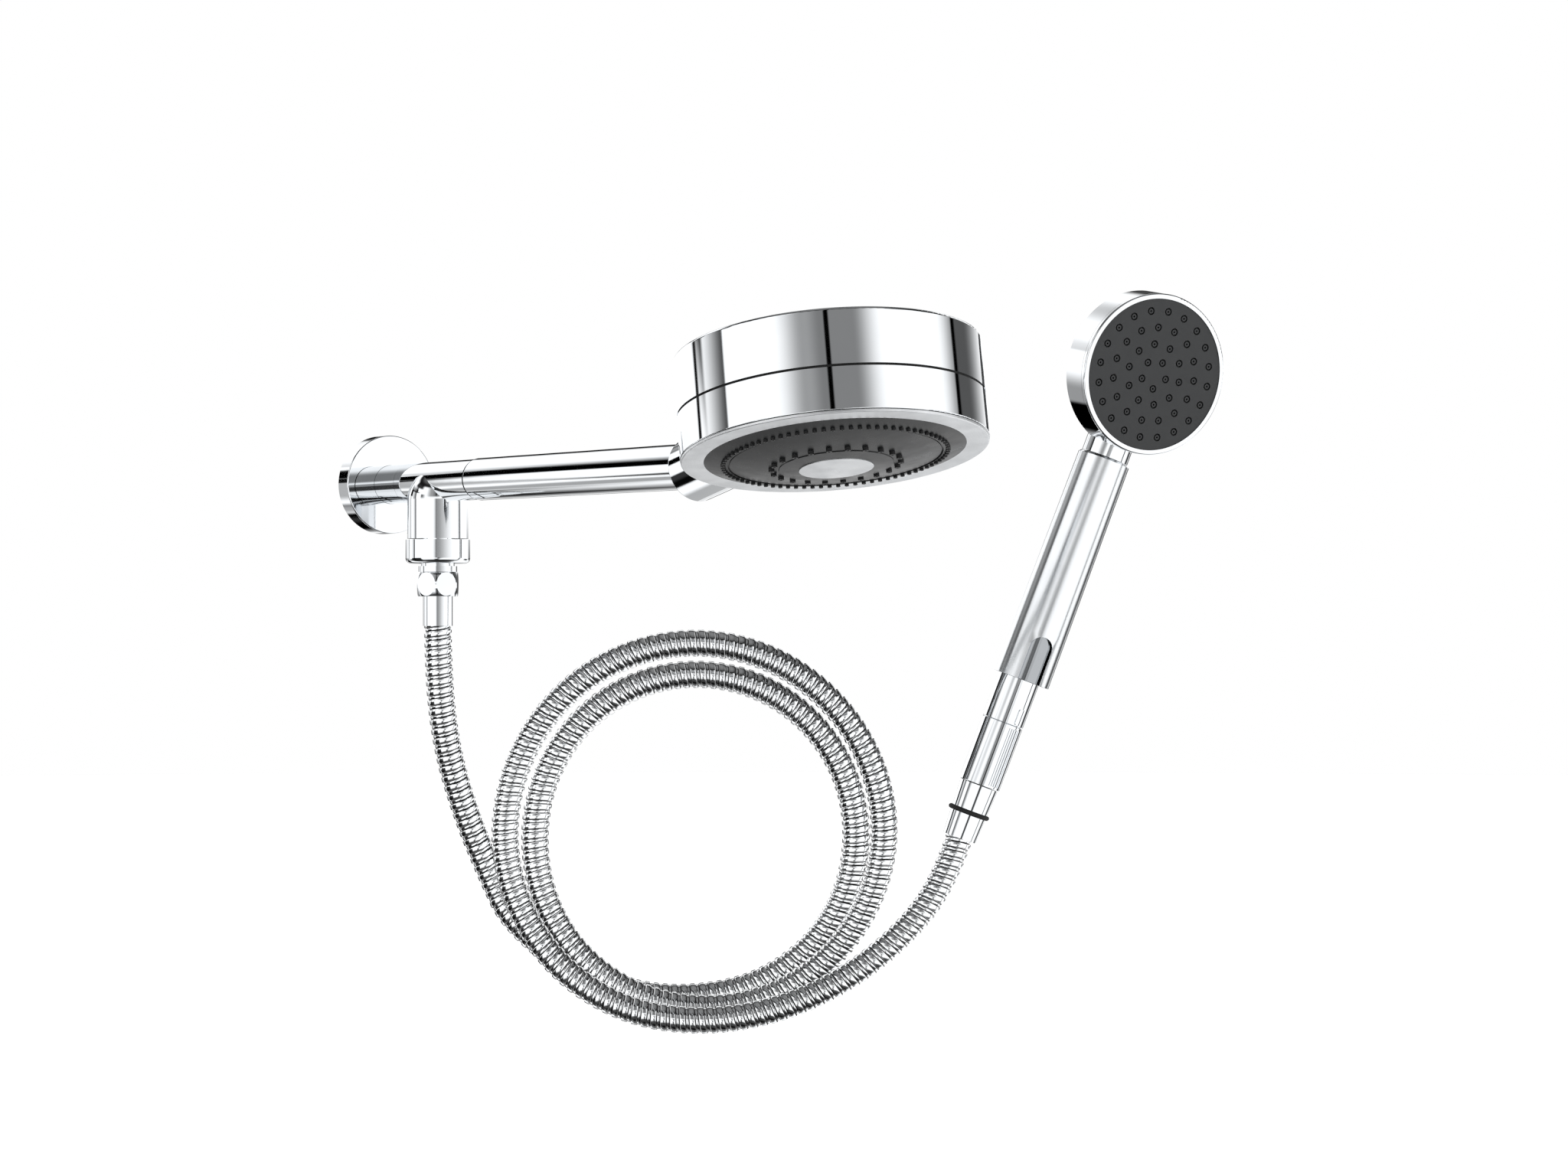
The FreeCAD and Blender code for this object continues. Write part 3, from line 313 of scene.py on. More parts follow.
@dataclass(frozen=True)
class MouldedPolymer:
    """A moulded plastic, rubber or silicone: its mould's spark-eroded grain, and a slightly cloudy colour."""

    name: str
    colour: str
    cloud_colour: str
    roughness: float
    ior: float
    grain_mm: float
    grain_depth_mm: float
    cloud_mm: float = 9.0
    shine_change: float = 0.05

    def material(self) -> bpy.types.Material:
        """Builds the moulded material.

        Returns:
            The material, patterned on Object coordinates.
        """
        material, shader = blank_material(self.name)
        tree = material.node_tree
        place = add_node(tree, "ShaderNodeTexCoord").outputs["Object"]
        cloud = add_node(
            tree,
            "ShaderNodeTexNoise",
            values={"Scale": grain_scale(self.cloud_mm), "Detail": 4.0, "Roughness": 0.55},
            links={"Vector": place},
        ).outputs["Fac"]
        grain = add_node(
            tree,
            "ShaderNodeTexNoise",
            values={"Scale": grain_scale(self.grain_mm), "Detail": 2.0, "Roughness": 0.5},
            links={"Vector": place},
        ).outputs["Fac"]
        colour = add_node(
            tree,
            "ShaderNodeMix",
            {"data_type": "RGBA"},
            values={6: linear(self.colour), 7: linear(self.cloud_colour)},
            links={0: cloud},
        ).outputs[2]
        rough = add_node(
            tree,
            "ShaderNodeMapRange",
            values={
                "From Min": NOISE_LOW,
                "From Max": NOISE_HIGH,
                "To Min": self.roughness - self.shine_change,
                "To Max": self.roughness + self.shine_change,
            },
            links={"Value": cloud},
        ).outputs["Result"]
        bump = add_node(
            tree,
            "ShaderNodeBump",
            values={"Strength": 1.0, "Distance": self.grain_depth_mm * MM},
            links={"Height": grain},
        ).outputs["Normal"]
        shader.inputs["IOR"].default_value = self.ior
        tree.links.new(colour, shader.inputs["Base Color"])
        tree.links.new(rough, shader.inputs["Roughness"])
        tree.links.new(bump, shader.inputs["Normal"])
        return material


@dataclass(frozen=True)
class HoseStrip:
    """Chromed steel strip, rolled to a hook section and wound: bright flats with dark joints between them,
    whose near-black is partly dirt and bare strip, partly painted shade.
    """

    name: str = "chromed_steel_strip"
    colour: str = "#E9EBED"
    # The joints' near-black is partly dirt and unplated strip, partly painted shade in the deep gaps between
    # turns.
    joint_dirt_and_shade_colour: str = "#060607"
    roughness: float = 0.09
    haze: float = 0.05
    haze_mm: float = 6.0
    joint_softness: float = 0.012

    def material(self, joints: tuple[tuple[float, float], ...]) -> bpy.types.Material:
        """Builds the strip's material.

        Args:
            joints: where the dark joints lie, as shares of one turn's width.

        Returns:
            The material; its pattern follows the piece's own UV map, whose U counts the turns.
        """
        material, shader = blank_material(self.name)
        tree = material.node_tree
        uv = add_node(tree, "ShaderNodeUVMap", {"uv_map": "winding"}).outputs["UV"]
        turns = add_node(tree, "ShaderNodeSeparateXYZ", links={"Vector": uv}).outputs["X"]
        share = add_node(tree, "ShaderNodeMath", {"operation": "FRACT"}, links={0: turns}).outputs[0]
        ramp = add_node(tree, "ShaderNodeValToRGB", links={"Fac": share})
        bright, dark = linear(self.colour), linear(self.joint_dirt_and_shade_colour)
        stops = ramp.color_ramp.elements
        stops[0].position, stops[0].color = 0.0, bright
        stops[1].position, stops[1].color = 1.0, bright
        soft = self.joint_softness
        # Each joint is painted near-black: its dirt and bare strip, and the shade in its gap.
        for start, end in joints:
            for position, tone in ((start - soft, bright), (start, dark), (end, dark), (end + soft, bright)):
                stops.new(min(max(position, 0.0), 1.0)).color = tone
        # A turn starts and ends inside a joint.
        stops[0].color = stops[len(stops) - 1].color = dark
        place = add_node(tree, "ShaderNodeTexCoord").outputs["Object"]
        haze = add_node(
            tree,
            "ShaderNodeTexNoise",
            values={"Scale": grain_scale(self.haze_mm), "Detail": 3.0},
            links={"Vector": place},
        ).outputs["Fac"]
        rough = add_node(
            tree,
            "ShaderNodeMapRange",
            values={
                "From Min": NOISE_LOW,
                "From Max": NOISE_HIGH,
                "To Min": self.roughness,
                "To Max": self.roughness + self.haze,
            },
            links={"Value": haze},
        ).outputs["Result"]
        shader.inputs["Metallic"].default_value = 1.0
        tree.links.new(ramp.outputs["Color"], shader.inputs["Base Color"])
        tree.links.new(rough, shader.inputs["Roughness"])
        return material


Finish = ChromePlating | TurnedMetal | MouldedPolymer


@dataclass
class FinishShop:
    """Makes each finish once and puts it on the nodes and pieces."""

    made: dict[str, bpy.types.Material] = field(default_factory=dict)

    def of(self, finish: Finish) -> bpy.types.Material:
        """Gives a finish's material, made at its first use.

        Args:
            finish: the finish.

        Returns:
            Its one material.
        """
        if finish.name not in self.made:
            self.made[finish.name] = finish.material()
        return self.made[finish.name]

    def dress(self, finish: Finish, *nodes: str) -> None:
        """Puts a finish on CAD nodes.

        Args:
            finish: the finish.
            nodes: the nodes' names.
        """
        material = self.of(finish)
        for name in nodes:
            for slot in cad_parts[name].material_slots:
                slot.material = material
            LOG.info("dressed %s in %s", name, finish.name)


# Buffed brass: its long waves bend reflections slightly, as on a cast fitting.
BRASS_CHROME = ChromePlating("chrome_on_brass")
# Plated ABS comes from a polished mould, so its mirror is flatter and a little clearer.
ABS_CHROME = ChromePlating("chrome_on_abs", roughness=0.03, haze=0.02, wave_depth_mm=0.004)
# Bare machined brass, inside only: warm yellow, with lathe rings.
BARE_BRASS = TurnedMetal("machined_brass", "#C9A25A", "#8E6A30", 0.28, 0.5, 0.02)
# Stainless screws: grey steel with turned heads.
SCREW_STEEL = TurnedMetal("stainless_screw", "#B4B6B8", "#6E7072", 0.3, 0.4, 0.02)
# EPDM rubber: nearly black, soft sheen.
RUBBER = MouldedPolymer("epdm_rubber", "#080808", "#0E0E0E", 0.7, 1.45, 0.35, 0.01)
# Acetal, the white slippery plastic of valves and washers.
ACETAL = MouldedPolymer("white_acetal", "#E4E3DE", "#D6D5CF", 0.35, 1.48, 0.5, 0.008)
# Glossy dark ABS of the spray plate: charcoal, with a broad soft highlight.
PLATE_ABS = MouldedPolymer("charcoal_abs", "#090A0B", "#0D0E0F", 0.3, 1.32, 0.45, 0.002)
# Silicone of the spray tips: black, matt.
TIP_SILICONE = MouldedPolymer("black_silicone", "#0E0E0F", "#161617", 0.45, 1.41, 0.3, 0.006)
# Soft-touch thermoplastic rubber of the hand shower's face: dark grey and quite matt.
FACE_TPE = MouldedPolymer("charcoal_tpe", "#1E1F20", "#232425", 0.62, 1.45, 0.3, 0.015)
# Silicone of the hand shower's tips: only a little darker and smoother than the face round them.
FACE_TIPS = MouldedPolymer("dark_silicone", "#1A1B1C", "#202122", 0.5, 1.41, 0.3, 0.01)
# The grip's plating is left slightly satin, so that wet fingers don't mark it: it blurs what it mirrors.
GRIP_CHROME = ChromePlating("satin_chrome_on_abs", roughness=0.16, haze=0.03, wave_depth_mm=0.001)
# Plated part seen only in the shade of the grip: a slightly duller chrome whose greyer colour is painted
# shade.
CHROME_WITH_PAINTED_SHADE = ChromePlating("chrome_with_painted_shade", "#A4A7AA", "#9A9DA0", 0.08, 0.03)


# ---------------------------------------------------------------- mesh help


def select_nothing() -> None:
    """Leaves edit mode and deselects every object."""
    if bpy.context.object and bpy.context.object.mode != "OBJECT":
        bpy.ops.object.mode_set(mode="OBJECT")
    bpy.ops.object.select_all(action="DESELECT")


def select_only(piece: bpy.types.Object) -> None:
    """Makes the piece the one selected and active object.

    Args:
        piece: the object.
    """
    select_nothing()
    piece.select_set(True)
    bpy.context.view_layer.objects.active = piece


def close_open_edges(piece: bpy.types.Object) -> None:
    """Fills the piece's open edges and turns all its faces outwards.

    Args:
        piece: the object.
    """
    select_only(piece)
    bpy.ops.object.mode_set(mode="EDIT")
    bpy.ops.mesh.select_mode(type="EDGE")
    bpy.ops.mesh.select_all(action="DESELECT")
    bpy.ops.mesh.select_non_manifold(extend=False)
    bpy.ops.mesh.fill()
    bpy.ops.mesh.select_all(action="SELECT")
    bpy.ops.mesh.normals_make_consistent(inside=False)
    bpy.ops.object.mode_set(mode="OBJECT")


def mesh_from(
    name: str,
    points: list[Vector],
    edges: list[tuple[int, int]],
    faces: list[tuple[int, ...]],
) -> bpy.types.Object:
    """Makes an object from points and the edges or faces between them.

    Args:
        name: its name.
        points: its corners, in metres.
        edges: corner numbers of each edge that belongs to no face.
        faces: corner numbers of each face, seen from outside.

    Returns:
        The new object, linked to the scene.
    """
    mesh = bpy.data.meshes.new(name)
    mesh.from_pydata(points, edges, faces)
    mesh.update()
    piece = bpy.data.objects.new(name, mesh)
    bpy.context.scene.collection.objects.link(piece)
    return piece


# ---------------------------------------------------------------- camera and studio


@dataclass
class Viewer:
    """The camera: level, with a long lens, in front of the wall and to its left."""

    place: Vector = PLANE_ORIGIN + ACROSS * 0.1763 + FRONT * 1.950 + UP * -0.0711
    lens_mm: float = 87.9
    sensor_mm: float = 36.0
    shift_up: float = 0.0213
    sees_from: float = 0.05
    sees_to: float = 60.0

    def build(self) -> bpy.types.Object:
        """Makes the camera and gives it to the scene.

        Returns:
            The camera object.
        """
        data = bpy.data.cameras.new("viewer")
        data.lens, data.sensor_width, data.shift_y = self.lens_mm, self.sensor_mm, self.shift_up
        data.clip_start, data.clip_end = self.sees_from, self.sees_to
        camera = bpy.data.objects.new("viewer", data)
        bpy.context.scene.collection.objects.link(camera)
        camera.location = self.place
        camera.rotation_euler = (math.radians(90), 0.0, -PLANE_TURN)
        bpy.context.scene.camera = camera
        return camera


@dataclass(frozen=True)
class Flag:
    """A dark card hung on the light tent, as a studio hangs them to draw edges on chrome.

    A bearing counts degrees to the right of the viewer's own place, and a height counts degrees above the
    horizon. A feather is how far each edge fades to either side, and depth is the share of light it takes.
    """

    bearing: tuple[float, float]
    height: tuple[float, float]
    side_feather: tuple[float, float] = (2.0, 2.0)
    height_feather: tuple[float, float] = (3.0, 3.0)
    depth: float = 1.0


@dataclass
class LightTent:
    """A white tent with soft light all round, which the chrome mirrors and the camera doesn't see."""

    radius: float = 14.0
    segments: int = 48
    strength: float = 1.35
    colour: str = "#FFFFFF"
    flags: list[Flag] = field(
        default_factory=lambda: [
            # Left of the object: a broad card with one hard edge, and thin ones beside it.
            Flag((-99.0, -86.0), (3.5, 34.0), (15.0, 1.0), (2.0, 4.0), 0.96),
            Flag((-119.5, -115.5), (3.0, 8.2), (1.2, 1.2), (1.0, 1.0)),
            Flag((-93.0, -85.0), (-45.0, 3.0), (9.0, 1.2), (4.0, 1.0), 0.97),
            Flag((-102.0, -58.0), (-40.0, -4.0), (3.0, 3.0), (6.0, 1.2), 0.97),
            # The stripe along the arm, and the shades beside it.
            Flag((-121.8, -108.0), (7.5, 21.5), (0.8, 2.0), (1.5, 3.0)),
            Flag((-122.0, -115.6), (-14.0, 3.0), (2.0, 0.5), (4.0, 1.0), 0.6),
            Flag((-133.0, -121.0), (-31.0, -21.0), (4.0, 2.0), (3.0, 3.0), 0.65),
            Flag((-117.5, -98.0), (-62.0, -14.0), (1.2, 4.0), (6.0, 2.0), 0.97),
            Flag((-118.0, -64.0), (-62.0, -26.0), (4.0, 14.0), (6.0, 4.0), 0.93),
            Flag((-158.0, -136.0), (19.0, 25.0), (4.0, 3.0), (2.0, 2.0), 0.9),
            # What the side of the round hand head mirrors.
            Flag((-150.0, -124.0), (-22.0, -1.0), (4.0, 1.5), (2.0, 7.0), 0.72),
            Flag((-166.0, -134.0), (-30.0, -15.5), (6.0, 2.0), (3.0, 1.0)),
            # What the left side of the handle mirrors.
            Flag((-125.0, -86.0), (19.5, 27.0), (6.0, 1.5), (1.0, 3.0), 0.62),
            Flag((-89.0, -82.0), (20.0, 27.0), (1.2, 1.2), (1.0, 2.0), 0.97),
            Flag((-112.0, -74.0), (17.6, 21.0), (6.0, 7.0), (0.8, 0.8), 0.85),
            Flag((-64.0, -50.0), (6.0, 15.6), (2.0, 9.0), (3.0, 0.8), 0.85),
            # Right of the object.
            Flag((107.5, 112.0), (4.0, 34.0), (1.0, 1.0), (2.0, 4.0)),
            Flag((101.0, 111.0), (4.0, 34.0), (11.0, 1.0), (2.0, 4.0), 0.8),
            Flag((111.0, 146.0), (4.0, 34.0), (1.0, 22.0), (2.0, 4.0), 0.92),
            Flag((95.0, 100.0), (0.4, 3.0), (1.5, 1.2), (0.4, 1.0), 0.95),
            Flag((85.0, 91.0), (-45.0, 0.0), (2.0, 1.2), (4.0, 0.4), 0.95),
            Flag((117.0, 142.0), (-24.0, -8.0), (7.0, 8.0), (4.0, 3.0), 0.96),
            # The gap between the two front lights, where the camera stands, and the lights' soft inner edges.
            Flag((-4.2, -0.4), (12.0, 50.0), (0.7, 0.7), (4.0, 4.0)),
            Flag((-33.0, -2.0), (9.0, 50.0), (12.0, 1.0), (3.0, 4.0), 0.7),
            Flag((-13.0, -2.0), (11.0, 50.0), (6.0, 1.0), (3.0, 4.0), 0.4),
            Flag((-2.0, 31.0), (9.0, 50.0), (1.0, 13.0), (3.0, 4.0), 0.8),
            Flag((-8.0, -2.0), (-2.2, 4.0), (7.0, 1.0), (0.8, 0.8), 0.6),
            Flag((-4.0, -1.0), (-2.2, 4.0), (1.2, 1.2), (0.8, 0.8), 0.6),
            Flag((-2.0, 32.0), (-2.2, 4.0), (1.0, 34.0), (0.8, 0.8), 0.74),
            Flag((1.5, 12.0), (-15.0, -2.0), (3.0, 3.0), (2.0, 1.0), 0.96),
            Flag((10.0, 20.0), (-12.0, -6.0), (2.0, 4.0), (2.0, 1.5), 0.6),
            Flag((-9.0, 9.0), (-46.0, -18.0), (6.0, 6.0), (8.0, 2.0), 0.93),
            # The roof, and the dark ground in front of the object.
            Flag((50.0, 165.0), (31.0, 46.0), (8.0, 8.0), (3.0, 4.0), 0.97),
            Flag((-108.0, -62.0), (31.0, 46.0), (6.0, 8.0), (3.0, 4.0), 0.97),
            Flag((-200.0, 200.0), (41.0, 62.0), (1.0, 1.0), (4.0, 14.0), 0.98),
            Flag((-200.0, 200.0), (52.0, 100.0), (1.0, 1.0), (14.0, 1.0), 0.82),
            Flag((-80.0, 100.0), (-100.0, -36.0), (14.0, 14.0), (1.0, 8.0), 0.95),
            Flag((-200.0, 200.0), (-100.0, -62.0), (1.0, 1.0), (1.0, 8.0), 0.9),
            # Behind the object: what its outlines mirror.
            Flag((166.0, 200.0), (9.0, 27.0), (6.0, 1.0), (2.0, 5.0), 0.95),
            Flag((-200.0, -165.0), (6.5, 27.0), (1.0, 6.0), (1.5, 5.0), 0.95),
            Flag((-200.0, -158.0), (10.5, 22.0), (1.0, 3.0), (1.0, 3.0), 0.9),
            Flag((145.0, 200.0), (-10.0, 1.6), (6.0, 1.0), (4.0, 0.8), 0.92),
            Flag((-200.0, -145.0), (-10.0, 1.6), (1.0, 6.0), (4.0, 0.8), 0.92),
            # Low behind the object: what the dark spray plate mirrors.
            Flag((160.0, 240.0), (-60.0, -14.0), (20.0, 1.0), (10.0, 5.0), 0.3),
            Flag((-240.0, -145.0), (-60.0, -14.0), (1.0, 10.0), (10.0, 5.0), 0.6),
        ]
    )

    def shade(
        self,
        tree: bpy.types.NodeTree,
        angle: bpy.types.NodeSocket,
        edges: tuple[float, float],
        feather: tuple[float, float],
    ) -> list[bpy.types.NodeSocket]:
        """Adds the two soft edges of a flag in one direction.

        Args:
            tree: the tent's node tree.
            angle: the bearing or height, in degrees.
            edges: where the flag starts and ends.
            feather: how soft each edge is.

        Returns:
            Two sockets that are 1 inside the flag.
        """
        made = []
        for edge, soft, before, after in ((edges[0], feather[0], 0.0, 1.0), (edges[1], feather[1], 1.0, 0.0)):
            step = add_node(
                tree,
                "ShaderNodeMapRange",
                {"interpolation_type": "SMOOTHSTEP"},
                values={1: edge - soft, 2: edge + soft, 3: before, 4: after},
                links={0: angle},
            )
            made.append(step.outputs[0])
        return made

    def angles(self, tree: bpy.types.NodeTree) -> list[bpy.types.NodeSocket]:
        """Works out where on the tent a point lies.

        Args:
            tree: the tent's node tree.

        Returns:
            Its bearing and its height, in degrees.
        """
        place = add_node(tree, "ShaderNodeTexCoord").outputs["Object"]
        way = add_node(
            tree, "ShaderNodeVectorMath", {"operation": "NORMALIZE"}, links={0: place}
        ).outputs[0]
        across, front, up = (
            add_node(
                tree, "ShaderNodeVectorMath", {"operation": "DOT_PRODUCT"}, values={1: axis}, links={0: way}
            ).outputs["Value"]
            for axis in (ACROSS, FRONT, UP)
        )
        bearing = add_node(
            tree, "ShaderNodeMath", {"operation": "ARCTAN2"}, links={0: across, 1: front}
        ).outputs[0]
        height = add_node(tree, "ShaderNodeMath", {"operation": "ARCSINE"}, links={0: up}).outputs[0]
        return [
            add_node(tree, "ShaderNodeMath", {"operation": "DEGREES"}, links={0: angle}).outputs[0]
            for angle in (bearing, height)
        ]

    def cloth(self) -> bpy.types.Material:
        """Makes the tent's glowing cloth, shaded by its flags.

        Returns:
            The material.
        """
        material = bpy.data.materials.new("tent_cloth")
        material.use_nodes = True
        tree = material.node_tree
        tree.nodes.clear()
        bearing, height = self.angles(tree)
        light = add_node(tree, "ShaderNodeValue").outputs[0]
        light.default_value = self.strength
        for flag in self.flags:
            mask, *others = [
                *self.shade(tree, bearing, flag.bearing, flag.side_feather),
                *self.shade(tree, height, flag.height, flag.height_feather),
            ]
            for other in others:
                mask = add_node(
                    tree, "ShaderNodeMath", {"operation": "MULTIPLY"}, links={0: mask, 1: other}
                ).outputs[0]
            kept = add_node(
                tree,
                "ShaderNodeMath",
                {"operation": "MULTIPLY_ADD"},
                values={1: -flag.depth, 2: 1.0},
                links={0: mask},
            ).outputs[0]
            light = add_node(
                tree, "ShaderNodeMath", {"operation": "MULTIPLY"}, links={0: light, 1: kept}
            ).outputs[0]
        glow = add_node(
            tree, "ShaderNodeEmission", values={"Color": linear(self.colour)}, links={"Strength": light}
        )
        add_node(tree, "ShaderNodeOutputMaterial", links={"Surface": glow.outputs["Emission"]})
        return material

    def build(self) -> bpy.types.Object:
        """Makes the tent.

        Returns:
            The tent's sphere, marked as stage.
        """
        select_nothing()
        bpy.ops.mesh.primitive_uv_sphere_add(
            segments=self.segments, ring_count=self.segments // 2, radius=self.radius, location=STAGE_MIDDLE
        )
        tent = bpy.context.object
        tent.name = "light_tent"
        tent.visible_camera = False
        tent.visible_shadow = False
        tent.data.materials.append(self.cloth())
        return tent


@dataclass(frozen=True)
class Lamp:
    """A broad round lamp: metres from the stage's middle, size in metres, and its share of the power."""

    name: str
    side: float
    up: float
    front: float
    size: float
    share: float


@dataclass
class Studio:
    """Pale floor, white surroundings and soft lamps."""

    floor_height: float = -0.62
    floor_radius: float = 12.0
    floor_sides: int = 96
    floor_colour: str = "#FDFDFD"
    mottle_colour: str = "#FAFAFA"
    mottle_mm: float = 1000 / 3
    floor_roughness: float = 0.9
    floor_shine: float = 0.1
    floor_glow: float = 0.6
    lamp_power: float = 60.0
    lamps: tuple[Lamp, ...] = (
        Lamp("key", -1.2, 1.4, 1.6, 1.4, 1.0),
        Lamp("fill", 1.6, 0.9, 1.3, 1.6, 0.6),
        Lamp("top", 0.0, 2.2, -0.2, 2.0, 0.8),
    )

    def paint(self) -> bpy.types.Material:
        """Makes the floor's white paint.

        Returns:
            The material, a little mottled.
        """
        material, shader = blank_material("painted_floor")
        tree = material.node_tree
        place = add_node(tree, "ShaderNodeTexCoord").outputs["Object"]
        mottle = add_node(
            tree,
            "ShaderNodeTexNoise",
            values={"Scale": grain_scale(self.mottle_mm), "Detail": 2.0},
            links={"Vector": place},
        ).outputs["Fac"]
        colour = add_node(
            tree,
            "ShaderNodeMix",
            {"data_type": "RGBA"},
            values={6: linear(self.floor_colour), 7: linear(self.mottle_colour)},
            links={0: mottle},
        ).outputs[2]
        tree.links.new(colour, shader.inputs["Base Color"])
        shader.inputs["Roughness"].default_value = self.floor_roughness
        shader.inputs["Specular IOR Level"].default_value = self.floor_shine
        # Lit from below, as a light table, so that it reads plain white to its edge.
        shader.inputs["Emission Color"].default_value = linear("#FFFFFF")
        shader.inputs["Emission Strength"].default_value = self.floor_glow
        return material

    def lay_floor(self) -> bpy.types.Object:
        """Makes the plain pale floor.

        Returns:
            The floor, marked as stage.
        """
        select_nothing()
        bpy.ops.mesh.primitive_circle_add(
            vertices=self.floor_sides,
            radius=self.floor_radius,
            fill_type="NGON",
            location=(STAGE_MIDDLE.x, STAGE_MIDDLE.y, self.floor_height),
        )
        floor = bpy.context.object
        floor.name = "floor"
        floor.data.materials.append(self.paint())
        floor.visible_glossy = False
        return floor

    def hang_lamps(self) -> None:
        """Hangs lamps that light the dark plastics and the floor but don't show in the chrome."""
        for lamp in self.lamps:
            data = bpy.data.lights.new(lamp.name, "AREA")
            data.shape, data.size, data.energy = "DISK", lamp.size, self.lamp_power * lamp.share
            hung = bpy.data.objects.new(lamp.name, data)
            bpy.context.scene.collection.objects.link(hung)
            hung.location = STAGE_MIDDLE + ACROSS * lamp.side + UP * lamp.up + FRONT * lamp.front
            hung.rotation_euler = (STAGE_MIDDLE - hung.location).to_track_quat("-Z", "Y").to_euler()
            hung.visible_glossy = False
            hung.visible_camera = False

    def surround(self) -> None:
        """Makes everything beyond the floor white."""
        world = bpy.data.worlds.new("white_room")
        world.use_nodes = True
        background = world.node_tree.nodes["Background"]
        background.inputs["Color"].default_value = linear("#FFFFFF")
        background.inputs["Strength"].default_value = 1.0
        bpy.context.scene.world = world
        bpy.context.scene.view_settings.view_transform = "Standard"

    def build(self) -> None:
        """Sets the whole studio up."""
        self.surround()
        self.lay_floor()
        self.hang_lamps()
        LightTent().build()


# ---------------------------------------------------------------- hose


@dataclass
class WoundHose:
    """The free metal hose: out of the ferrule, down, twice round in a coil, and up to the hand shower."""

    length: float = 1.6
    diameter: float = 0.014
    exit: tuple[float, float, float] = (0.0, -0.059, -0.0734)
    # The route's control points between the fittings and the coil: across, up and front, in millimetres.
    lead: list[tuple[float, float, float]] = field(
        default_factory=lambda: [
            (0.0, -73.4, 0.0),
            (0.3, -103.0, -0.8),
            (4.6, -139.0, -5.5),
            (14.2, -172.5, -11.6),
            (26.5, -203.0, -16.6),
        ]
    )
    tail: list[tuple[float, float, float]] = field(
        default_factory=lambda: [
            (169.3, -269.4, 12.6),
            (206.0, -254.0, 11.0),
            (236.0, -231.5, 7.5),
            (256.8, -205.5, 3.0),
            (265.6, -181.2, 0.0),
        ]
    )
    coil_centre: tuple[float, float] = (131.3, -180.0)
    coil_from: float = -0.18
    coil_to: float = 2.0
    points_per_turn: int = 16
    # The coil's radius in millimetres at each count of turns. The hose comes in from the lead to a tight
    # first turn, and the second lies outside it.
    coil_radii: list[tuple[float, float]] = field(
        default_factory=lambda: [
            (-0.18, 104.5),
            (-0.1, 92.0),
            (0.0, 84.5),
            (0.25, 83.4),
            (0.75, 83.4),
            (1.0, 89.6),
            (1.25, 97.8),
            (1.5, 99.9),
            (1.75, 98.3),
            (2.0, 94.2),
        ]
    )
    # Each turn of the coil lies this far in front of the one before.
    front_step: float = 13.3
    # The width of one turn of the strip.
    pitch: float = 4.9
    # The strip runs on inside both fittings by this many of its turns.
    hidden_turns: float = 1.6
    # A row of corners climbs by one turn as it goes round, so the last starts just over a turn from the end.
    last_climb: float = 1.001
    spline_steps: int = 16
    sides: int = 16
    smooth_degrees: float = 38.0
    # The rolled strip's section: share of a turn's width, and radius in millimetres.
    section: tuple[tuple[float, float], ...] = (
        (0.00, 6.05),
        (0.055, 6.85),
        (0.13, 7.00),
        (0.50, 7.00),
        (0.575, 6.85),
        (0.63, 6.05),
        (0.70, 6.30),
        (0.93, 6.30),
    )
    # Where its dark joints lie, as shares of a turn's width.
    joints: tuple[tuple[float, float], ...] = ((0.0, 0.02), (0.575, 0.69), (0.93, 0.999))
    lay: Lay = Lay.RIGHT_HAND

    def coil_radius(self, turns: float) -> float:
        """Reads the coil's radius from its list.

        Args:
            turns: how far round the coil, in turns.

        Returns:
            The radius there, in millimetres.
        """
        for (low, first), (high, second) in zip(self.coil_radii, self.coil_radii[1:]):
            if turns <= high:
                return first + (second - first) * (turns - low) / (high - low)
        return self.coil_radii[-1][1]

    def route(self) -> list[Vector]:
        """Lists the hose line's control points.

        Returns:
            The points in metres: lead, coil and tail.
        """
        points = [in_hose_plane(*p) for p in self.lead]
        count = round((self.coil_to - self.coil_from) * self.points_per_turn)
        for i in range(count + 1):
            turns = self.coil_from + (self.coil_to - self.coil_from) * i / count
            # Turns are counted from the coil's lowest point.
            angle = math.radians(-90 + 360 * turns)
            radius = self.coil_radius(turns)
            points.append(
                in_hose_plane(
                    self.coil_centre[0] + radius * math.cos(angle),
                    self.coil_centre[1] + radius * math.sin(angle),
                    self.front_step * (turns - 1),
                )
            )
        return points + [in_hose_plane(*p) for p in self.tail]

    def centreline(self) -> list[Vector]:
        """Draws the hose's line as one smooth spline and reads it.

        Returns:
            Points along the spline, close together.
        """
        data = bpy.data.curves.new("hose_line", "CURVE")
        data.dimensions, data.resolution_u = "3D", self.spline_steps
        spline = data.splines.new("NURBS")
        route = self.route()
        spline.points.add(len(route) - 1)
        for point, place in zip(spline.points, route):
            point.co = (*place, 1.0)
        spline.order_u = 3
        spline.use_endpoint_u = True
        line = bpy.data.objects.new("hose_line", data)
        bpy.context.scene.collection.objects.link(line)
        bpy.context.view_layer.update()
        mesh = bpy.data.meshes.new_from_object(line)
        points = [v.co.copy() for v in mesh.vertices]
        bpy.data.objects.remove(line)
        bpy.data.meshes.remove(mesh)
        return points

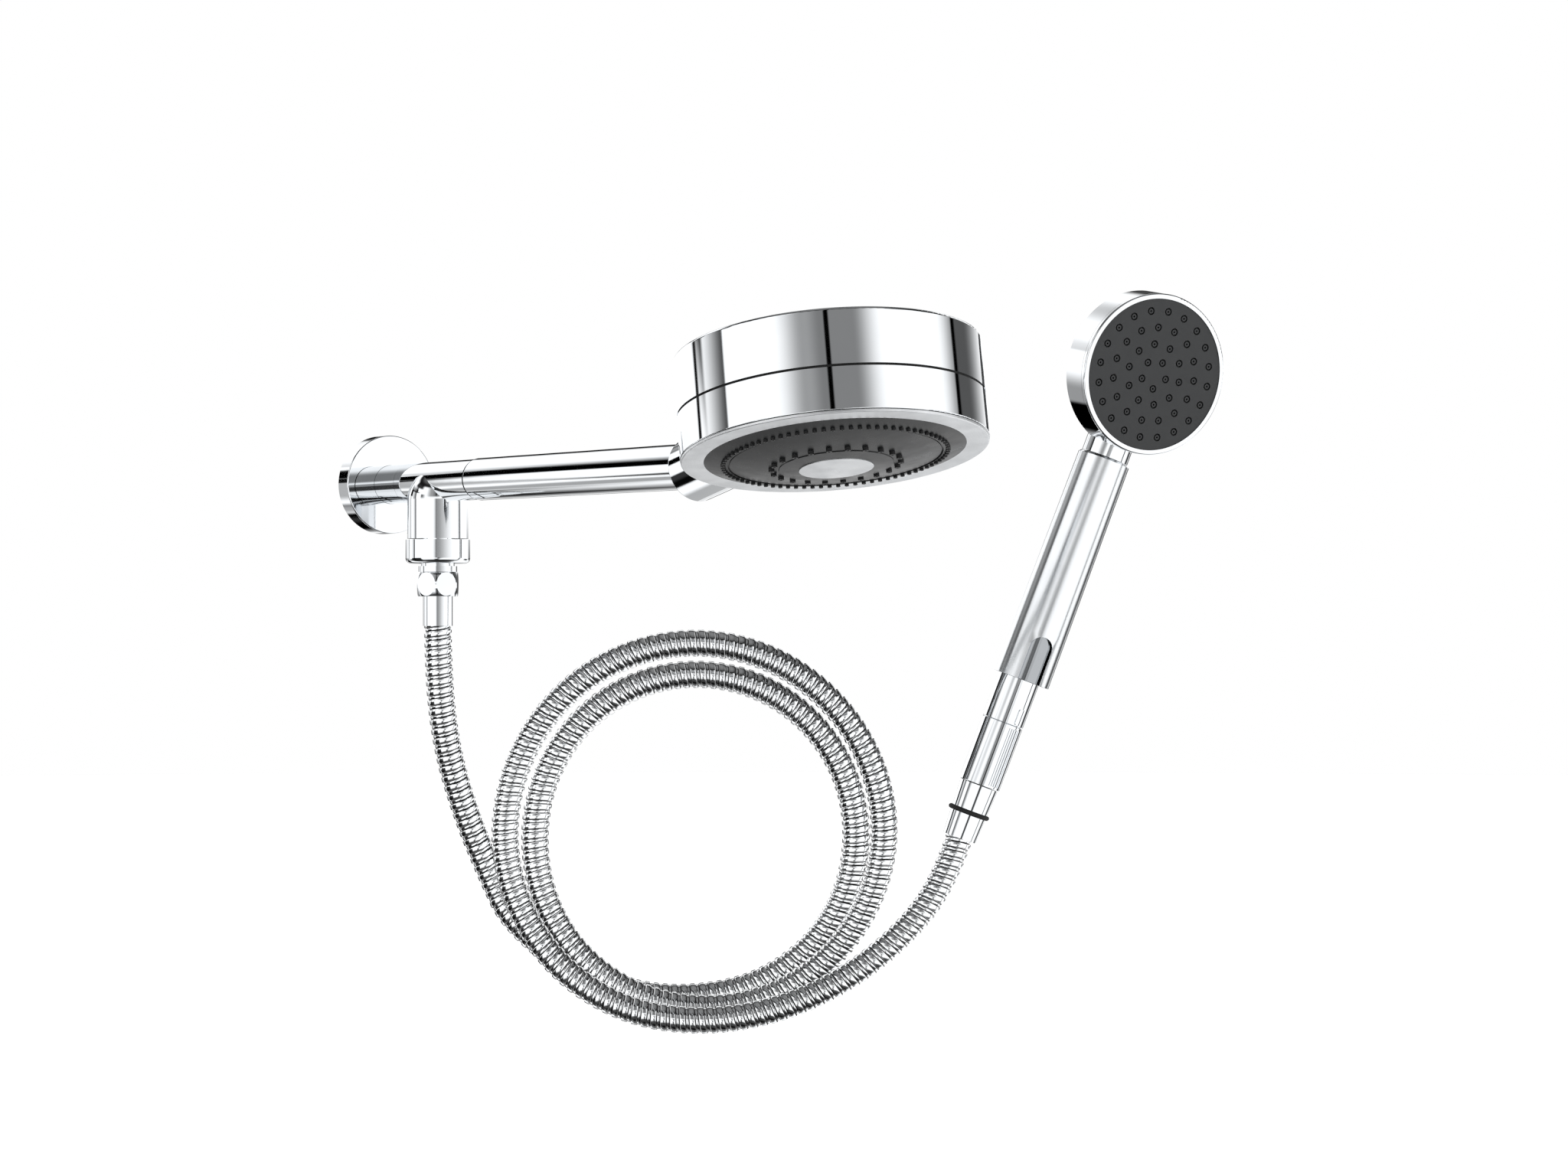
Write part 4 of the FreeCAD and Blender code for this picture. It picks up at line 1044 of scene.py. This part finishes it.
    def stations(self, line: list[Vector], run_in: float) -> list[tuple[float, Vector, Vector, Vector]]:
        """Works out the hose's place and directions along its line, without twist.

        Args:
            line: points along the hose.
            run_in: how far the line is carried on straight at both ends, in metres.

        Returns:
            For each point, the distance along the line, the point, and two directions across it.
        """
        first = line[0] - (line[1] - line[0]).normalized() * run_in
        last = line[-1] + (line[-1] - line[-2]).normalized() * run_in
        points = [first, *line, last]
        ways = [(b - a).normalized() for a, b in zip(points, points[1:])]
        ways = [ways[0]] + [(a + b).normalized() for a, b in zip(ways, ways[1:])] + [ways[-1]]
        side = FRONT - ways[0] * FRONT.dot(ways[0])
        side.normalize()
        done, made = 0.0, []
        for i, (point, way) in enumerate(zip(points, ways)):
            if i:
                done += (point - points[i - 1]).length
                side = side - way * side.dot(way)
                side.normalize()
            made.append((done, point, side.copy(), way.cross(side)))
        return made

    def corners(
        self, stations: list[tuple[float, Vector, Vector, Vector]], rows: list[tuple[float, float]]
    ) -> tuple[list[Vector], list[float]]:
        """Places the strip's corners: each row of them is one turn of a helix along the hose.

        Args:
            stations: the hose's places and directions.
            rows: where each row starts, counted in the strip's turns, and its radius in metres.

        Returns:
            The corners, and for each the turn count where its own row starts.
        """
        pitch = self.pitch * MM
        points, counts = [], []
        for start, radius in rows:
            spot = 0
            for i in range(self.sides):
                at = (start + i / self.sides) * pitch
                while stations[spot + 1][0] < at:
                    spot += 1
                (low, a, a1, a2), (high, b, b1, b2) = stations[spot], stations[spot + 1]
                share = (at - low) / (high - low)
                angle = self.lay.value * math.tau * i / self.sides
                across = a1.lerp(b1, share) * math.cos(angle) + a2.lerp(b2, share) * math.sin(angle)
                points.append(a.lerp(b, share) + across.normalized() * radius)
                counts.append(start)
        return points, counts

    def faces(self, rows: int) -> list[tuple[int, ...]]:
        """Joins the rows of corners, the last corner of each to the first of the row one turn on.

        Args:
            rows: how many rows there are.

        Returns:
            The corner numbers of each face, seen from outside.
        """
        made, turn = [], len(self.section)
        for row in range(rows - 1):
            for i in range(self.sides):
                a, d = row * self.sides + i, (row + 1) * self.sides + i
                if i + 1 < self.sides:
                    b, c = a + 1, d + 1
                elif row + 1 + turn < rows:
                    b, c = (row + turn) * self.sides, (row + 1 + turn) * self.sides
                else:
                    continue
                made.append((a, d, c, b) if self.lay is Lay.RIGHT_HAND else (a, b, c, d))
        return made

    def count_turns(self, hose: bpy.types.Object, counts: list[float]) -> None:
        """Writes the UV map that counts the strip's turns along the hose.

        Args:
            hose: the hose.
            counts: the turn count where each corner's row starts.
        """
        layer = hose.data.uv_layers.new(name="winding")
        sides = self.sides
        for face in hose.data.polygons:
            around = [vertex % sides for vertex in face.vertices]
            wraps = max(around) - min(around) > sides / 2
            for loop, vertex in zip(face.loop_indices, face.vertices):
                # Where a face closes the ring, its first corners belong to the row one turn on.
                gained = 1 if wraps and vertex % sides == 0 else 0
                layer.data[loop].uv = (counts[vertex] - gained, vertex % sides / sides + gained)

    def build(self) -> bpy.types.Object:
        """Winds the strip along the hose's line.

        Returns:
            The hose, as one closed mesh.
        """
        line = self.centreline()
        pitch = self.pitch * MM
        stations = self.stations(line, self.hidden_turns * pitch)
        whole = stations[-1][0]
        turns = int(whole / pitch - self.last_climb)
        rows = [(turn + share, radius * MM) for turn in range(turns) for share, radius in self.section]
        points, counts = self.corners(stations, rows)
        hose = mesh_from("wound_hose", points, [], self.faces(len(rows)))
        # The open ends lie inside the ferrule and the cone.
        close_open_edges(hose)
        self.count_turns(hose, counts)
        select_only(hose)
        bpy.ops.object.shade_smooth_by_angle(angle=math.radians(self.smooth_degrees))
        hose.data.materials.append(HoseStrip().material(self.joints))
        hose.visible_glossy = False
        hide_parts("hose_lead", "hose_coil", "hose_tail")
        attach(hose, "fixed")
        LOG.info("wound %d turns of strip along %.3f m of hose", turns, whole)
        return hose


# ---------------------------------------------------------------- sub-assemblies of the frame


@dataclass
class WallFitting:
    """Inlet pipe, wall flange and tee."""

    # The thread, in millimetres. Its ridge starts inside the pipe's wall, so that no gap shows.
    thread_radius: float = 10.48
    thread_pitch: float = 1.814
    thread_from: float = 1.0
    thread_to: float = 14.2
    ridge_foot: float = -0.25
    ridge_height: float = 0.32
    # Half the ridge's width, as a share of the pitch.
    ridge_half: float = 0.36
    # The ridge's section: each corner's place in half-widths, and whether it is on the crest.
    ridge_section: tuple[tuple[float, bool], ...] = ((0.0, False), (0.75, True), (1.25, True), (2.0, False))
    steps_per_turn: int = 40
    smooth_degrees: float = 30.0

    def build_thread(self) -> bpy.types.Object:
        """Cuts the look of the male pipe thread: one ridge, wound along the inlet's end.

        Returns:
            The thread ridge.
        """
        half = self.thread_pitch * self.ridge_half * MM
        root = (self.thread_radius + self.ridge_foot) * MM
        crest = (self.thread_radius + self.ridge_height) * MM
        start = self.thread_from * MM
        corners = [
            Vector((crest if on_crest else root, start + half * share, 0.0))
            for share, on_crest in self.ridge_section
        ]
        ridge = mesh_from("inlet_thread", corners, [(0, 1), (1, 2), (2, 3), (3, 0)], [])
        select_only(ridge)
        screw = ridge.modifiers.new("lead", "SCREW")
        screw.axis = "Y"
        screw.screw_offset = self.thread_pitch * MM
        screw.iterations = int((self.thread_to - self.thread_from) / self.thread_pitch)
        screw.steps = screw.render_steps = self.steps_per_turn
        screw.use_merge_vertices = False
        bpy.ops.object.modifier_apply(modifier="lead")
        close_open_edges(ridge)
        bpy.ops.object.shade_smooth_by_angle(angle=math.radians(self.smooth_degrees))
        return ridge

    def build(self, shop: FinishShop) -> None:
        """Adds the thread and dresses the fitting.

        Args:
            shop: the finishes.
        """
        thread = self.build_thread()
        thread.data.materials.append(shop.of(BRASS_CHROME))
        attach(thread, "fixed")
        shop.dress(BRASS_CHROME, "wall_nipple", "wall_flange", "tee_body", "outlet_nipple")
        shop.dress(RUBBER, "flange_seal")


@dataclass
class Diverter:
    """The turning collar under the tee and the plug that it turns."""

    def build(self, shop: FinishShop) -> None:
        """Dresses the diverter.

        Args:
            shop: the finishes.
        """
        shop.dress(BRASS_CHROME, "diverter_collar")
        shop.dress(BARE_BRASS, "diverter_spool")


@dataclass
class HoseFittings:
    """Nut, washer, ferrule and insert at the hose's ends."""

    def build(self, shop: FinishShop) -> None:
        """Dresses the fittings.

        Args:
            shop: the finishes.
        """
        shop.dress(BRASS_CHROME, "hose_hex_nut", "hose_ferrule")
        shop.dress(RUBBER, "hose_washer")
        shop.dress(BARE_BRASS, "hose_insert")


@dataclass
class Arm:
    """Arm tube, its seal ring, the water pipe inside and the hollow ball."""

    def build(self, shop: FinishShop) -> None:
        """Dresses the arm.

        Args:
            shop: the finishes.
        """
        shop.dress(BRASS_CHROME, "arm_tube", "ball_stem")
        shop.dress(RUBBER, "arm_seal_ring")
        shop.dress(ACETAL, "arm_inner_pipe")


@dataclass
class OverheadHead:
    """The drum: boss, two halves, joint strip and what is inside."""

    centre: Vector = Vector((0.0, -0.404914, 0.021967))
    axis: Vector = Vector((0.05408, 0.21442, 0.97524))

    def build(self, shop: FinishShop) -> None:
        """Dresses the drum.

        Args:
            shop: the finishes.
        """
        shop.dress(ABS_CHROME, "swivel_boss", "head_cover", "head_base")
        shop.dress(RUBBER, "head_gasket")
        shop.dress(ACETAL, "ball_seal", "flow_restrictor", "distributor")
        shop.dress(SCREW_STEEL, "cover_screw_1", "cover_screw_2", "cover_screw_3")


@dataclass
class SpraySelector:
    """The ring and plate that turn under the drum, with their spray tips."""

    head: OverheadHead = field(default_factory=OverheadHead)

    def build(self, shop: FinishShop) -> None:
        """Dresses the selector.

        Args:
            shop: the finishes.
        """
        # Satin plating, brushed as it turns: fine rings about the drum's axis, which spread its highlights.
        satin = TurnedMetal(
            "satin_chrome", "#E6E8EA", "#E0E2E4", 0.4, 0.35, 0.0006, self.head.centre, self.head.axis
        )
        shop.dress(satin, "rim_ring", "centre_cap")
        shop.dress(PLATE_ABS, "spray_plate")
        shop.dress(TIP_SILICONE, "outer_nozzle_ring", "inner_nozzle_ring")


@dataclass
class HandShower:
    """Conical nut, handle, grip and round head of the hand shower."""

    def build(self, shop: FinishShop) -> None:
        """Dresses the hand shower.

        Args:
            shop: the finishes.
        """
        shop.dress(ABS_CHROME, "conical_nut", "flow_ring", "inner_tube", "index_key")
        shop.dress(ABS_CHROME, "handset_shell", "handset_rim")
        shop.dress(GRIP_CHROME, "grip_sleeve")
        # The liner's grey chrome is painted shade, which draws the dark outline of the grip's slot.
        shop.dress(CHROME_WITH_PAINTED_SHADE, "sleeve_liner")
        shop.dress(RUBBER, "cone_o_ring", "handset_seal")
        shop.dress(ACETAL, "inlet_filter", "handle_core", "check_valve", "handset_distributor")
        shop.dress(FACE_TPE, "handset_face")
        shop.dress(FACE_TIPS, "handset_nozzles")
        shop.dress(SCREW_STEEL, "face_screw")


def main() -> None:
    """Builds the camera, the hose, each sub-assembly and the studio."""
    logging.basicConfig(level=logging.INFO, format="%(message)s")
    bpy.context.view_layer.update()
    Viewer().build()
    WoundHose().build()
    shop = FinishShop()
    assemblies = (
        WallFitting(),
        Diverter(),
        HoseFittings(),
        Arm(),
        OverheadHead(),
        SpraySelector(),
        HandShower(),
    )
    for assembly in assemblies:
        assembly.build(shop)
        LOG.info("finished %s", type(assembly).__name__)
    Studio().build()


if __name__ == "__main__":
    main()
